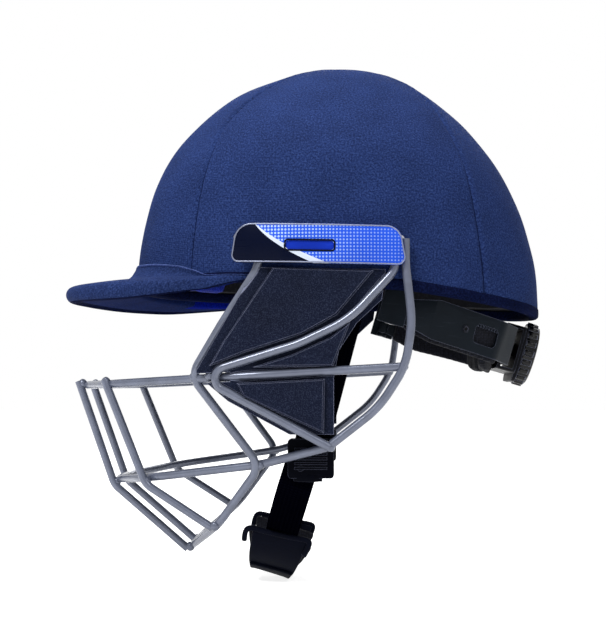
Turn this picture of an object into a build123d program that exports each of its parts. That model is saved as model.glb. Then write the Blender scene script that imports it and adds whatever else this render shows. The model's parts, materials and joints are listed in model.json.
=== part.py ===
from build123d import *
import os
from math import acos, atan2, cos, degrees, pi, radians, sin, tan

# Cricket batting helmet: cloth-covered shell, padded peak, wire face guard and dial fit system.
# Millimetres. Front of the helmet is -X, the wearer's left is -Y, up is +Z.
# The origin lies on the mirror plane at brow level, in the middle of the shell.
os.makedirs("parts", exist_ok=True)

# Clearances
fit_gap = 0.3
hole_gap = 0.2
cut_over = 5.0

# Dome: an ellipsoid that leans forward
dome_half_length = 129.3
dome_half_width = 107.8
dome_height = 151.4
dome_lean = 8.2
dome_centre_x = -1.8
dome_centre_z = -0.6

# Layers of the dome, from outside to inside
cover_thickness = 1.2
shell_thickness = 3.6
liner_thickness = 12.6
shell_outer = cover_thickness + fit_gap
shell_inner = shell_outer + shell_thickness
liner_outer = shell_inner + fit_gap
liner_inner = liner_outer + liner_thickness
pad_outer = liner_inner + fit_gap

# Rim: heights at four stations along the side
rim_front_z = 4.6
rim_ear_x = 42.0
rim_ear_z = -1.1
rim_rear_x = 127.0
rim_rear_z = -12.7
rim_reach = 3 * dome_half_length / 2
rim_top = 3 * dome_height / 2
binding_height = 3.0
liner_lift = 6.0

# Crown, where the four cloth panels meet
crown_x = 10.0
seam_front_bend_share = (0.385, 0.42)
seam_front_end_share = (0.93, 0.98)
seam_rear_bend_share = (0.36, 0.29)
seam_rear_end_share = (0.92, 0.98)
seam_gap = 0.3
button_radius = 6.5
button_rise = 2.2

# Peak
peak_root_x = -80.0
peak_end_x = -76.0
peak_reach = 99.5
peak_half_width = 95.0
peak_thickness = 10.0
peak_arch_radius = 480.0
peak_tilt = 6.0
peak_tip_z = -3.1
peak_edge_radius = 4.4
peak_skin = 3.0
peak_flange = 2.4
peak_hem_shares = ((-0.6, 0.39), (-0.73, 0.68), (-0.87, 0.82), (-1.1, 1.0))
peak_hem_z = 22.4
peak_prism_depth = 60.0

# Temple plates, screwed to the shell over the ends of the wires
plate_standoff = 7.4
plate_half_width = dome_half_width + plate_standoff
plate_bend_radius = 300.0
plate_thickness = 2.0
plate_centre_x = -11.3
plate_centre_z = 24.2
plate_length = 101.0
plate_height = 22.4
plate_slant = 1.2
plate_corner_shares = ((-0.471, 0.5), (0.456, 0.5), (0.5, -0.5), (-0.5, -0.5))
plate_corner_radii = (10.0, 9.0, 4.5, 4.0)
slot_length = 28.0
slot_height = 5.4
slot_offset_x = -5.1
slot_offset_z = -1.1
insert_recess = 0.5
bracket_thickness = 2.0
bracket_gap = 2.2
bracket_length = 98.4
bracket_height = 13.0
bracket_corner = 3.0
screw_pitch = 44.0
screw_radius = 2.0
screw_head_radius = 3.9
screw_head_height = 1.5
bush_radius = 4.2
nut_radius = 6.0
nut_thickness = 1.6

# Face guard wires
wire_radius = 2.5
weld = 0.8
grille_reach = 168.0
grille_half_width = 110.0
grille_drop = 160.0
wire_top_share = 0.172
groove_gap = 0.35
top_bar_shares = (
    (0.222, 0.989, -0.286),
    (-0.37, 0.995, -0.322),
    (-0.835, 0.605, -0.347),
    (-0.976, 0.18, -0.35),
)
top_bar_radii = (90.0, 45.0, 60.0)
mid_bar_shares = (
    (-0.024, 0.975, -0.568),
    (-0.274, 0.788, -0.642),
    (-0.69, 0.612, -0.7),
    (-0.845, 0.18, -0.725),
)
mid_bar_radii = (60.0, 40.0, 40.0)
hoop_gap = 6.0
hoop_top_x = plate_centre_x - screw_pitch / 2 - bush_radius - wire_radius - hoop_gap
hoop_top_share = hoop_top_x / grille_reach
face_hoop_shares = (
    (hoop_top_share, 0.968, wire_top_share),
    (hoop_top_share, 0.968, 0.075),
    (-0.4, 0.955, -0.13),
    (-0.51, 0.9, -0.318),
    (-0.274, 0.825, -0.647),
    (-0.43, 0.668, -0.87),
    (-0.558, 0.2, -0.985),
)
face_hoop_radii = (20.0, 40.0, 12.0, 12.0, 24.0, 30.0)
inner_upright_shares = ((-1.0, 0.19, -0.334), (-0.858, 0.2, -0.747), (-0.5755, 0.2, -1.0))
outer_upright_shares = ((-0.848, 0.605, -0.331), (-0.694, 0.627, -0.722), (-0.452, 0.645, -0.884))
upright_radius = 14.0
vee_shares = (
    (0.194, 0.974, wire_top_share),
    (0.194, 0.974, 0.062),
    (0.033, 1.015, -0.12),
    (-0.14, 1.015, -0.206),
    (-0.485, 0.988, -0.3175),
    (-0.03, 1.0, -0.572),
)
vee_radii = (14.0, 60.0, 60.0, 6.9)
hoop_shares = (
    (0.228, 0.968, wire_top_share),
    (0.228, 0.968, 0.082),
    (0.248, 1.005, -0.125),
    (0.225, 1.005, -0.285),
    (0.136, 1.0, -0.43),
    (-0.03, 0.99, -0.566),
)
hoop_radii = (60.0, 60.0, 45.0, 60.0)

# Side guards, moulded panels behind the wires
guard_outer_share = 0.989
guard_thickness = 4.0
guard_island = 3.8
guard_edge_radius = 0.8
guard_shares = (
    (-0.285, 0.07), (0.16, 0.062), (0.147, -0.046), (0.062, -0.129), (0.0, -0.229),
    (-0.017, -0.326), (-0.017, -0.527), (-0.167, -0.527), (-0.376, -0.409), (-0.448, -0.346),
    (-0.487, -0.304), (-0.395, -0.136),
)
island_shares = (
    ((-0.223, 0.068), (0.117, 0.056), (-0.008, -0.102), (-0.125, -0.17), (-0.32, -0.235), (-0.438, -0.283),
     (-0.394, -0.2)),
    ((-0.292, -0.288), (-0.16, -0.244), (-0.03, -0.183), (0.038, -0.128), (-0.02, -0.284)),
    ((-0.345, -0.345), (-0.049, -0.33), (-0.052, -0.522), (-0.322, -0.393)),
)
ear_pad_thickness = 9.0
ear_pad_shares = (
    (-0.3, -0.06), (-0.02, -0.09), (-0.06, -0.3), (-0.06, -0.46), (-0.17, -0.46), (-0.35, -0.33),
)
ear_pad_corner = 9.0
ear_pad_round = 4.0

# Harness webbing and chin assembly
web_width = 20.0
web_thickness = 1.6
harness_half_width = 85.5
harness_top_x = 14.0
harness_top_z = 24.0
rivet_radius = 3.0
rivet_grip = 6.5
buckle_x = -16.5
buckle_z = -99.0
buckle_width = 27.0
buckle_height = 23.0
buckle_depth = 9.0
buckle_rib = 0.8
buckle_ribs = 5
rib_zone_share = 0.6
rib_width_share = 0.7
buckle_pin_radius = 1.6
chin_offset_x = 6.0
chin_lean = 17.5
chin_drop = 74.8
chin_arc_radius = 43.0
strap_sweep = 66.0
strap_overrun = 0.8
strap_knee = 14.0
cup_width_top = 41.0
cup_width_bottom = 28.0
cup_sweep = 60.0
cup_shell_thickness = 3.2
cup_pad_thickness = 5.0
cup_pad_round = 1.4

# Rear fit system, built along its own slope
band_slope = 16.1
slope_drop = 1.0
band_height = 24.0
band_thickness = 2.2
band_anchor_x = 34.0
band_anchor_y = 87.0
band_temple_x = 48.0
band_shoulder_shares = (0.912, 0.644)
band_radii = (40.0, 12.0, 10.0)
band_end_y = 31.5
band_bend_y = 38.5
band_rear_x = 111.8
band_taper_x = 60.0
band_nose_low = 7.5
band_nose_high = 6.0
band_pad_thickness = 4.5
band_pad_drop = 2.5
band_pad_start_x = 42.0
band_pad_end_share = 0.3
band_pad_round = 1.5
anchor_thickness = 2.0
anchor_width = 16.0
anchor_drop = 10.4
anchor_rise = 34.0
anchor_pin_radius = 1.5
barrel_radius = 3.2
lug_height = 2.6
pin_head_height = 1.0
window_length = 17.0
window_height = 11.6
window_share = 0.81
window_teeth = 8
window_tooth_height = 2.0

# Ratchet housing, racks, pinion and dial
pinion_module = 1.15
pinion_teeth = 8
pressure_angle = 20.0
backlash = 0.4
rack_addendum_share = 0.5
flank_shares = (0.0, 0.35, 0.7, 1.0)
min_half_angle = 0.06
rack_thickness = 2.0
rack_high = 10.8
rack_far_y = 17.5
housing_half_width = 30.0
housing_height = 30.0
housing_wall = 2.0
housing_front_x = 107.2
housing_depth = 12.0
housing_corner = 4.0
back_plate_thickness = 2.4
back_plate_half_width = 24.0
back_plate_top = 15.5
back_plate_bottom = 20.0
back_plate_corner = 8.0
shaft_radius = 3.0
stub_share = 0.6
shaft_gap = 0.08
dial_radius = 19.6
dial_rib_radius = 1.9
dial_rib_rise = 1.3
dial_ribs = 20
dial_thickness = 8.6
dial_crown = 1.6
dial_recess_radius = 12.0
dial_recess = 1.2
dial_screw_radius = 3.4
nape_thickness = 6.5
nape_half_width = 38.0
nape_height = 34.0
nape_bend_radius = 80.0
nape_corner = 12.0
nape_round = 2.6
inner_share = 0.64
nape_z = -2.0

# Comfort pads, crowned
brow_radius = 74.0
brow_centre_x = -32.7
brow_half_angle = 48.0
brow_half_height = 12.5
brow_half_depth = 8.5
brow_z = 19.0
rear_radius = 75.8
rear_centre_x = 32.0
rear_half_angle = 34.0
rear_half_height = 11.0
rear_z = 12.0
side_pad_half_sizes = (36.0, 8.0, 15.0)
side_pad_place = (2.0, 84.0, 49.0)
crown_pad_half_sizes = (44.0, 30.0, 9.0)
crown_pad_x = -6.0
crown_pad_drop = 21.4

slope_frame = Pos(0, 0, -slope_drop) * Rot(0, band_slope, 0)


def dome(inset):
    """The dome's ellipsoid, drawn in by inset, or grown where inset is negative."""
    sizes = (dome_half_length - inset, dome_half_width - inset, dome_height - inset)
    place = Pos(dome_centre_x, 0, dome_centre_z) * Rot(0, -dome_lean, 0)
    return place * scale(Sphere(1), by=sizes)


def profile_prism(points, depth):
    """A prism across the helmet, from a side-view outline."""
    face = Plane.XZ * make_face(Polyline(*points, close=True))
    return extrude(face, amount=depth, both=True)


def above_rim(lift):
    """Everything above the rim line, moved up by lift."""
    slope = (rim_rear_z - rim_ear_z) / (rim_rear_x - rim_ear_x)
    far_z = rim_ear_z + slope * (rim_reach - rim_ear_x)
    outline = [
        (-rim_reach, rim_front_z + lift),
        (-dome_half_length / 2, rim_front_z + lift),
        (rim_ear_x, rim_ear_z + lift),
        (rim_reach, far_z + lift),
        (rim_reach, rim_top),
        (-rim_reach, rim_top),
    ]
    return profile_prism(outline, rim_reach)


def layer(outer, inner, lift):
    """One layer of the dome between two insets, cut off above the rim."""
    return (dome(outer) & above_rim(lift)) - dome(inner)


def mirrored(shape):
    return mirror(shape, about=Plane.XZ)


def save(name, shape):
    export_step(shape, f"parts/{name}.step")


def save_pair(name, left):
    save(f"left_{name}", left)
    save(f"right_{name}", mirrored(left))


# Fasteners of the temple plates
screw_z = plate_centre_z
screw_xs = [plate_centre_x - screw_pitch / 2, plate_centre_x + screw_pitch / 2]
bracket_outer = plate_half_width - plate_thickness - bracket_gap


def across(x, z, radius, y_from, y_to):
    """A round bar across the left wall, from y_from out to y_to from the mirror plane."""
    bar = Cylinder(radius, y_to - y_from, align=(Align.CENTER, Align.CENTER, Align.MIN))
    return Pos(x, -y_from, z) * Rot(90, 0, 0) * bar


def screw_holes(radius):
    left = [across(x, screw_z, radius, dome_half_width / 2, plate_half_width) for x in screw_xs]
    right = [mirrored(bar) for bar in left]
    return left + right


# Shell, liner and binding
shell = layer(shell_outer, shell_inner, binding_height)
for hole in screw_holes(screw_radius + hole_gap):
    shell -= hole
save("outer_shell", shell)

liner = layer(liner_outer, liner_inner, liner_lift)
for pocket in screw_holes(nut_radius + hole_gap):
    liner -= pocket & dome(liner_outer - fit_gap)


def anchor_blank(gap):
    """The hanger tab of the left fit band in the sloping frame, grown by gap."""
    height = anchor_rise + anchor_drop + 2 * gap
    centre_y = band_anchor_y + barrel_radius + fit_gap + anchor_thickness / 2
    tab = Box(anchor_width + 2 * gap, anchor_thickness + 2 * gap, height)
    return Pos(band_anchor_x, -centre_y, (anchor_rise - anchor_drop) / 2) * tab


anchor_tab = anchor_blank(0)


def strap_slab(points, width, y_from, thickness):
    """A flat strap in a plane parallel to the mirror plane, along two side-view points."""
    (x0, z0), (x1, z1) = points
    run = Vector(x1 - x0, z1 - z0)
    side = Vector(-run.Y, run.X).normalized() * (width / 2)
    corners = [
        (x0 + side.X, z0 + side.Y),
        (x1 + side.X, z1 + side.Y),
        (x1 - side.X, z1 - side.Y),
        (x0 - side.X, z0 - side.Y),
    ]
    face = Plane.XZ.offset(y_from) * make_face(Polyline(*corners, close=True))
    return extrude(face, amount=thickness)


harness_run = [(harness_top_x, harness_top_z), (buckle_x, buckle_z + buckle_height / 3)]
harness_strap = strap_slab(harness_run, web_width, harness_half_width, web_thickness)
harness_rivet_z = harness_top_z - web_width / 2
harness_rivet_x = harness_top_x + (buckle_x - harness_top_x) * (web_width / 2) / (harness_top_z - buckle_z)
strap_outer = harness_half_width + web_thickness
rivet_in = harness_half_width - web_thickness
rivet = across(harness_rivet_x, harness_rivet_z, rivet_radius, rivet_in, strap_outer + rivet_grip)
rivet_head = across(harness_rivet_x, harness_rivet_z, 2 * rivet_radius,
                    rivet_in - web_thickness, harness_half_width - fit_gap)
harness_pocket = strap_slab(harness_run, web_width + 2 * fit_gap, dome_half_width / 2,
                            strap_outer + fit_gap - dome_half_width / 2)
anchor_pocket = slope_frame * anchor_blank(fit_gap)
for cutter in (harness_pocket, anchor_pocket):
    liner = liner - cutter - mirrored(cutter)
rivet_pair = rivet + rivet_head
rivet_bore = rivet_radius + hole_gap
strap_hole = across(harness_rivet_x, harness_rivet_z, rivet_bore, dome_half_width / 2, plate_half_width)
harness_strap -= strap_hole
liner = liner - strap_hole - mirrored(strap_hole)
save("foam_liner", liner)

binding = layer(0, shell_inner, 0) - above_rim(binding_height - fit_gap)
save("rim_binding", binding)

# Cloth cover in four panels


def seam_place(shares, side):
    """A plan point of a left seam, in front of the middle with side -1 or behind it with side 1."""
    return (side * shares[0] * dome_half_length, -shares[1] * dome_half_width)


seam_front_bend = seam_place(seam_front_bend_share, -1)
seam_front_end = seam_place(seam_front_end_share, -1)
seam_rear_bend = seam_place(seam_rear_bend_share, 1)
seam_rear_end = seam_place(seam_rear_end_share, 1)
seam_far_y = -rim_reach


def side_wedge(gap):
    """Plan area of the left panel, drawn in by gap at its two seams."""
    front = [(seam_front_end[0] + gap, seam_far_y), (seam_front_end[0] + gap, seam_front_end[1])]
    front_side = [(seam_front_bend[0] + gap, seam_front_bend[1]), (crown_x, -gap)]
    rear_side = [(seam_rear_bend[0] - gap, seam_rear_bend[1]), (seam_rear_end[0] - gap, seam_rear_end[1])]
    rear = [(seam_rear_end[0] - gap, seam_far_y)]
    face = make_face(Polyline(*(front + front_side + rear_side + rear), close=True))
    return extrude(Pos(0, 0, -rim_reach) * face, amount=2 * rim_reach)


def half_space(side, gap):
    """Everything in front of the crown with side -1, or behind it with side 1."""
    block = Box(rim_reach, 2 * rim_reach, 2 * rim_reach)
    return Pos(crown_x + side * (rim_reach / 2 + gap), 0, 0) * block


cover = layer(0, cover_thickness, binding_height)
cover_side = cover & side_wedge(seam_gap / 2)
for hole in screw_holes(bush_radius + hole_gap):
    cover_side -= hole
side_cut = side_wedge(-seam_gap / 2)
cover_ends = cover - side_cut - mirrored(side_cut)
save_pair("cover_panel", cover_side)
save("front_cover_panel", cover_ends & half_space(-1, seam_gap / 2))
save("rear_cover_panel", cover_ends & half_space(1, seam_gap / 2))

button_blank = Cylinder(button_radius, dome_height, align=(Align.CENTER, Align.CENTER, Align.MIN))
button_post = Pos(crown_x, 0, dome_height / 2) * button_blank
save("crown_button", (dome(-button_rise) & button_post) - dome(-fit_gap))

# Peak
peak_outline = Pos(peak_root_x, 0, -peak_prism_depth) * Ellipse(peak_reach, peak_half_width)


def peak_slab(inset):
    """The arched, tilted plate of the peak, drawn in by inset on every side."""
    low = peak_arch_radius + inset
    high = peak_arch_radius + peak_thickness - inset
    length = 2 * rim_reach
    ring = Cylinder(high, length) - Cylinder(low, length)
    arch = Pos(peak_root_x - peak_reach, 0, peak_tip_z) * Rot(0, -peak_tilt, 0)
    arch = arch * Pos(0, 0, -peak_arch_radius) * Rot(0, 90, 0) * ring
    plan = Pos(peak_root_x, 0, -peak_prism_depth) * Ellipse(peak_reach - inset, peak_half_width - inset)
    ends = Pos(peak_end_x - inset - rim_reach / 2, 0, 0) * Box(rim_reach, 2 * rim_reach, 2 * rim_reach)
    return extrude(plan, amount=2 * peak_prism_depth) & arch & ends


def peak_rim_edges(plate):
    """Long edges along the outer outline of the peak."""
    far = peak_reach - peak_edge_radius
    outer = [e for e in plate.edges() if e.length > peak_reach and (e @ 0.5).X < peak_root_x - far]
    return outer


peak_blank = peak_slab(0)
peak_plate = fillet(peak_rim_edges(peak_blank), peak_edge_radius) - dome(-fit_gap)
hem_points = [(share_x * dome_half_length, share_z * peak_hem_z) for share_x, share_z in peak_hem_shares]
hem_low = [(-rim_reach, hem_points[-1][1]), (-rim_reach, rim_front_z - binding_height),
           (hem_points[0][0], rim_front_z - binding_height)]
flange_area = profile_prism(hem_points + hem_low, rim_reach)
peak_band = (dome(-peak_flange) & flange_area) - dome(-fit_gap)
peak_core = peak_slab(peak_skin) - dome(-fit_gap - peak_skin)
peak_body = (peak_plate + peak_band) - peak_core
save("peak_core", peak_core)
save("peak_cover", peak_body)

# Temple plates, slot inserts and wire brackets
plate_frame = Pos(plate_centre_x, 0, plate_centre_z) * Rot(0, plate_slant, 0)


def curved_sheet(outer, thickness, outline):
    """An outline bent about a vertical axis, its face at outer from the mirror plane."""
    prism = extrude(Plane.XZ * outline, amount=2 * plate_half_width)
    bend = plate_bend_radius - (plate_half_width - outer)
    drum = Cylinder(bend, 2 * plate_height) - Cylinder(bend - thickness, 2 * plate_height + cut_over)
    return plate_frame * (prism & (Pos(0, plate_bend_radius - plate_half_width, 0) * drum))


slot_place = plate_frame * Pos(slot_offset_x, 0, slot_offset_z)
slot_face = Plane.XZ * SlotOverall(slot_length, slot_height)
slot_cut = slot_place * extrude(slot_face, amount=2 * plate_half_width)
insert_face = Plane.XZ * SlotOverall(slot_length - 2 * hole_gap, slot_height - 2 * hole_gap)
insert_prism = slot_place * extrude(insert_face, amount=2 * plate_half_width)
plate_corners = [(x * plate_length, z * plate_height) for x, z in plate_corner_shares]
plate_line = FilletPolyline(*plate_corners, radius=list(plate_corner_radii), close=True)
plate_face = make_face(plate_line)
plate = curved_sheet(plate_half_width, plate_thickness, plate_face)
insert_outer = plate_half_width - insert_recess
insert_sheet = curved_sheet(insert_outer, plate_thickness, plate_face)
bracket_face = RectangleRounded(bracket_length, bracket_height, bracket_corner)
bracket = curved_sheet(bracket_outer, bracket_thickness, bracket_face)
for x in screw_xs:
    bracket -= across(x, screw_z, screw_radius + hole_gap, dome_half_width / 2, plate_half_width)
save_pair("temple_plate", plate - slot_cut)

bend_drop = (screw_pitch / 2) ** 2 / (2 * plate_bend_radius)
bracket_back = bracket_outer - bend_drop - bracket_thickness
head_seat = bracket_outer - bend_drop + fit_gap
screws = []
bushes = []
nuts = []
for x in screw_xs:
    level = (1 - ((x - dome_centre_x) / dome_half_length) ** 2 - (screw_z / dome_height) ** 2) ** 0.5
    wall = dome_half_width * level
    shank = across(x, screw_z, screw_radius, wall - shell_inner - nut_thickness, head_seat)
    head = across(x, screw_z, screw_head_radius, head_seat, head_seat + screw_head_height)
    screws.append(shank + head)
    bush = across(x, screw_z, bush_radius, wall - shell_outer, bracket_back - 2 * fit_gap)
    bore = across(x, screw_z, screw_radius + hole_gap, wall - liner_inner, plate_half_width)
    bushes.append(bush - bore - dome(shell_outer - fit_gap / 3))
    nut = across(x, screw_z, nut_radius, wall - liner_outer - 2 * nut_thickness, wall)
    nuts.append((nut & dome(shell_inner + fit_gap / 3)) - bore)


def group(solids):
    """Both sides' copies of the left pieces as one group."""
    return Compound(children=[*solids, *[mirrored(solid) for solid in solids]])


save("slot_inserts", group([(insert_sheet & insert_prism).solid()]))
save("wire_brackets", group([bracket.solid()]))
save("plate_screws", group([part.solid() for part in screws]))
save("screw_bushes", group([part.solid() for part in bushes]))
save("screw_nuts", group([part.solid() for part in nuts]))


# Face guard wires
def wire_points(shares, side):
    size = Vector(grille_reach, side * grille_half_width, grille_drop)
    return [Vector(x * size.X, y * size.Y, z * size.Z) for x, y, z in shares]


def wire(points, radii, radius):
    """A bent round wire along straight runs and tangent arcs."""
    path = FilletPolyline(*points, radius=list(radii))
    section = Plane(origin=path @ 0, z_dir=path % 0) * Circle(radius)
    return sweep(section, path=path)


def hoop_wire(shares, radii, radius):
    """A wire that runs from the left round the front to the right."""
    left = wire_points(shares, -1)
    right = wire_points(shares, 1)
    return wire(left + right[::-1], (*radii, *radii[::-1]), radius)


top_bar = hoop_wire(top_bar_shares, top_bar_radii, wire_radius)
mid_bar = hoop_wire(mid_bar_shares, mid_bar_radii, wire_radius)
face_hoop = hoop_wire(face_hoop_shares, face_hoop_radii, wire_radius)
inner_upright = wire(wire_points(inner_upright_shares, -1), (upright_radius,), wire_radius)
outer_upright = wire(wire_points(outer_upright_shares, -1), (upright_radius,), wire_radius)
vee_wire = wire(wire_points(vee_shares, -1), vee_radii, wire_radius)
rear_hoop = wire(wire_points(hoop_shares, -1), hoop_radii, wire_radius)
save("guard_top_bar", top_bar)
save("guard_middle_bar", mid_bar)
save("guard_face_hoop", face_hoop)
save("inner_uprights", group([inner_upright.solid()]))
save("outer_uprights", group([outer_upright.solid()]))
save_pair("vee_wire", vee_wire)
save_pair("rear_hoop", rear_hoop)

# Side guards and ear pads
guard_outer = guard_outer_share * grille_half_width


def guard_slab(shares, y_from, y_to):
    points = [(x * grille_reach, z * grille_drop) for x, z in shares]
    face = Plane.XZ.offset(y_from) * make_face(Polyline(*points, close=True))
    return extrude(face, amount=y_to - y_from)


guard = guard_slab(guard_shares, guard_outer - guard_thickness, guard_outer)
for island in island_shares:
    raised = guard_slab(island, guard_outer - guard_thickness / 2, guard_outer + guard_island)
    top = raised.faces().sort_by(Axis.Y)[0]
    guard += chamfer(top.edges(), guard_edge_radius)
guard -= dome(-fit_gap) & above_rim(-2 * fit_gap)
groove_wires = [
    hoop_wire(top_bar_shares, top_bar_radii, wire_radius + groove_gap),
    hoop_wire(face_hoop_shares, face_hoop_radii, wire_radius + groove_gap),
    wire(wire_points(vee_shares, -1), vee_radii, wire_radius + groove_gap),
]
for groove in groove_wires:
    guard -= groove
half_slot = wire_radius + groove_gap
slot_ends = [(x * grille_reach, z * grille_drop) for x, _, z in top_bar_shares[1:3]]
slot_points = [(x, z + half_slot) for x, z in slot_ends] + [(x, z - half_slot) for x, z in slot_ends[::-1]]
slot_face = Plane.XZ.offset(guard_outer - 2 * guard_thickness) * make_face(Polyline(*slot_points, close=True))
guard -= extrude(slot_face, amount=4 * guard_thickness)
guard = guard.solids().sort_by(SortBy.VOLUME)[-1]
save_pair("side_guard", guard)

ear_points = [(x * grille_reach, z * grille_drop) for x, z in ear_pad_shares]
ear_face = make_face(Polyline(*ear_points, close=True))
ear_face = fillet(ear_face.vertices(), ear_pad_corner)
ear_outer = guard_outer - guard_thickness - fit_gap
ear_pad = extrude(Plane.XZ.offset(ear_outer - ear_pad_thickness) * ear_face, amount=ear_pad_thickness)
ear_inner = ear_pad.faces().sort_by(Axis.Y)[-1]
ear_pad = fillet(ear_inner.edges(), ear_pad_round)
save_pair("ear_pad", ear_pad)

# Harness straps, rivets and buckles
save_pair("harness_strap", harness_strap)
save("harness_rivets", group([rivet_pair.solid()]))

buckle_y = harness_half_width + web_thickness / 2
pivot_x = buckle_x - chin_offset_x
pivot_z = buckle_z - buckle_height / 4
cheek_cut = web_thickness + 2 * fit_gap
buckle_block = Box(buckle_width, buckle_depth, buckle_height)
buckle_block = fillet(buckle_block.edges().filter_by(Axis.Y), buckle_depth / 4)
rib_pitch = buckle_height * rib_zone_share / buckle_ribs
rib_bar = Box(buckle_width * rib_width_share, 2 * buckle_rib, rib_pitch / 2)
for index in range(buckle_ribs):
    rib_z = rib_pitch * (index - (buckle_ribs - 1) / 2)
    buckle_block += Pos(0, -buckle_depth / 2, rib_z) * rib_bar
buckle = Pos(buckle_x, -buckle_y, buckle_z) * buckle_block
mouth_top = pivot_z + web_width / 2 + fit_gap
mouth_low = buckle_z - buckle_height
mouth_box = Box(2 * buckle_width, cheek_cut, mouth_top - mouth_low)
buckle -= Pos(buckle_x, -buckle_y, (mouth_top + mouth_low) / 2) * mouth_box
buckle -= strap_slab(harness_run, web_width + 2 * fit_gap, harness_half_width - fit_gap, cheek_cut)
cheek_in = buckle_y - buckle_depth / 2
cheek_out = buckle_y + buckle_depth / 2
buckle_pin = across(pivot_x, pivot_z, buckle_pin_radius, cheek_in, cheek_out)
save_pair("buckle", buckle - buckle_pin)
save("buckle_pins", group([buckle_pin.solid()]))

# Chin strap and cup, built hanging straight down and then leaned forward
chin_frame = Pos(pivot_x, 0, pivot_z) * Rot(0, chin_lean, 0)
cup_radius = chin_arc_radius + fit_gap + cup_shell_thickness
arc_centre_z = cup_radius - chin_drop


def chin_ring(radius, thickness, width, sweep_angle):
    """A strip round the chin, from radius outwards, seen from the front as part of a ring."""
    ring = Cylinder(radius + thickness, width) - Cylinder(radius, width + cut_over)
    reach = 3 * (radius + thickness)
    spread = reach * tan(radians(sweep_angle))
    wedge = Plane.YZ * make_face(Polyline((0, 0), (-spread, -reach), (spread, -reach), close=True))
    sector = (Rot(0, 90, 0) * ring) & extrude(wedge, amount=width, both=True)
    return Pos(0, 0, arc_centre_z) * sector


def web_bar(start, end):
    """Straight webbing between two front-view points, full width across."""
    run = Vector(end[0] - start[0], end[1] - start[1])
    half = Vector(-run.Y, run.X).normalized() * (web_thickness / 2)
    corners = [(start[0] + half.X, start[1] + half.Y), (end[0] + half.X, end[1] + half.Y),
               (end[0] - half.X, end[1] - half.Y), (start[0] - half.X, start[1] - half.Y)]
    face = Plane.YZ * make_face(Polyline(*corners, close=True))
    return extrude(face, amount=web_width / 2, both=True)


web_arc_radius = chin_arc_radius - web_thickness / 2
sweep_end = radians(strap_sweep)
lip_point = (-web_arc_radius * sin(sweep_end), arc_centre_z - web_arc_radius * cos(sweep_end))
knee_point = (-buckle_y, -strap_knee)
tab_disc = Pos(0, -buckle_y, 0) * Rot(90, 0, 0) * Cylinder(web_width / 2, web_thickness)
tab_hole = Pos(0, -buckle_y, 0) * Rot(90, 0, 0) * Cylinder(buckle_pin_radius + shaft_gap, 2 * web_thickness)
side_strap = tab_disc + web_bar((-buckle_y, 0), knee_point) + web_bar(knee_point, lip_point) - tab_hole
loop_sweep = strap_sweep + strap_overrun
strap_loop = chin_ring(chin_arc_radius - web_thickness, web_thickness, web_width, loop_sweep)
chin_strap = strap_loop + side_strap + mirrored(side_strap)
save("chin_strap", chin_frame * chin_strap)

cup_low_z = arc_centre_z - cup_radius
cup_top_z = arc_centre_z
trim_top = cup_width_top / 2 + (cup_width_top - cup_width_bottom) / 2
trim_low = cup_width_bottom / 2
trim_points = [(-trim_top, cup_top_z), (trim_top, cup_top_z), (trim_low, cup_low_z), (-trim_low, cup_low_z)]
cup_cut = profile_prism(trim_points, 2 * cup_radius)
cup_blank_width = 2 * cup_width_top
cup_shell = chin_ring(chin_arc_radius + fit_gap, cup_shell_thickness, cup_blank_width, cup_sweep) & cup_cut
cup_pad_radius = chin_arc_radius - web_thickness - fit_gap - cup_pad_thickness
cup_pad = chin_ring(cup_pad_radius, cup_pad_thickness, cup_blank_width, cup_sweep) & cup_cut
cup_pad = fillet(cup_pad.edges(), cup_pad_round)
save("chin_cup", chin_frame * cup_shell)
save("chin_cup_pad", chin_frame * cup_pad)

# Fit bands: strips on edge, built flat in the sloping frame
band_points = [
    (band_anchor_x, -band_anchor_y),
    (band_temple_x, -band_anchor_y),
    (band_rear_x * band_shoulder_shares[0], -band_anchor_y * band_shoulder_shares[1]),
    (band_rear_x, -band_bend_y),
    (band_rear_x, -band_end_y),
]


def offset_route(points, distance):
    """The same route moved sideways, towards the head where distance is positive."""
    moved = []
    for index, point in enumerate(points):
        before = Vector(*points[max(index - 1, 0)])
        after = Vector(*points[min(index + 1, len(points) - 1)])
        here = Vector(*point)
        first = here - before if index else after - here
        last = after - here if index < len(points) - 1 else here - before
        normal_a = Vector(-first.Y, first.X).normalized()
        normal_b = Vector(-last.Y, last.X).normalized()
        middle = (normal_a + normal_b).normalized()
        shift = distance / middle.dot(normal_a)
        moved.append((here.X + middle.X * shift, here.Y + middle.Y * shift))
    return moved


def edge_strip(points, radii, thickness, low, high):
    """A strip on edge between two heights, along straight runs and tangent arcs."""
    line = FilletPolyline(*points, radius=list(radii))
    return extrude(Pos(0, 0, low) * trace(line, line_width=thickness), amount=high - low)


nose_end_x = band_anchor_x + barrel_radius + 2 * fit_gap


def side_taper(start_x, drop):
    """Side-view outline that narrows towards the temple, moved down by drop."""
    full = half_band
    lower = [(start_x, -band_nose_low), (nose_end_x, -band_nose_low)]
    lower += [(band_taper_x, -full), (rim_reach, -full)]
    upper = [(rim_reach, full), (band_taper_x, full)]
    upper += [(nose_end_x, band_nose_high), (start_x, band_nose_high)]
    if start_x > nose_end_x:
        share = (start_x - nose_end_x) / (band_taper_x - nose_end_x)
        lower[:2] = [(start_x, -band_nose_low - (full - band_nose_low) * share)]
        upper[2:] = [(start_x, band_nose_high + (full - band_nose_high) * share)]
    return Pos(0, 0, -drop) * profile_prism(lower + upper, rim_reach)


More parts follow.
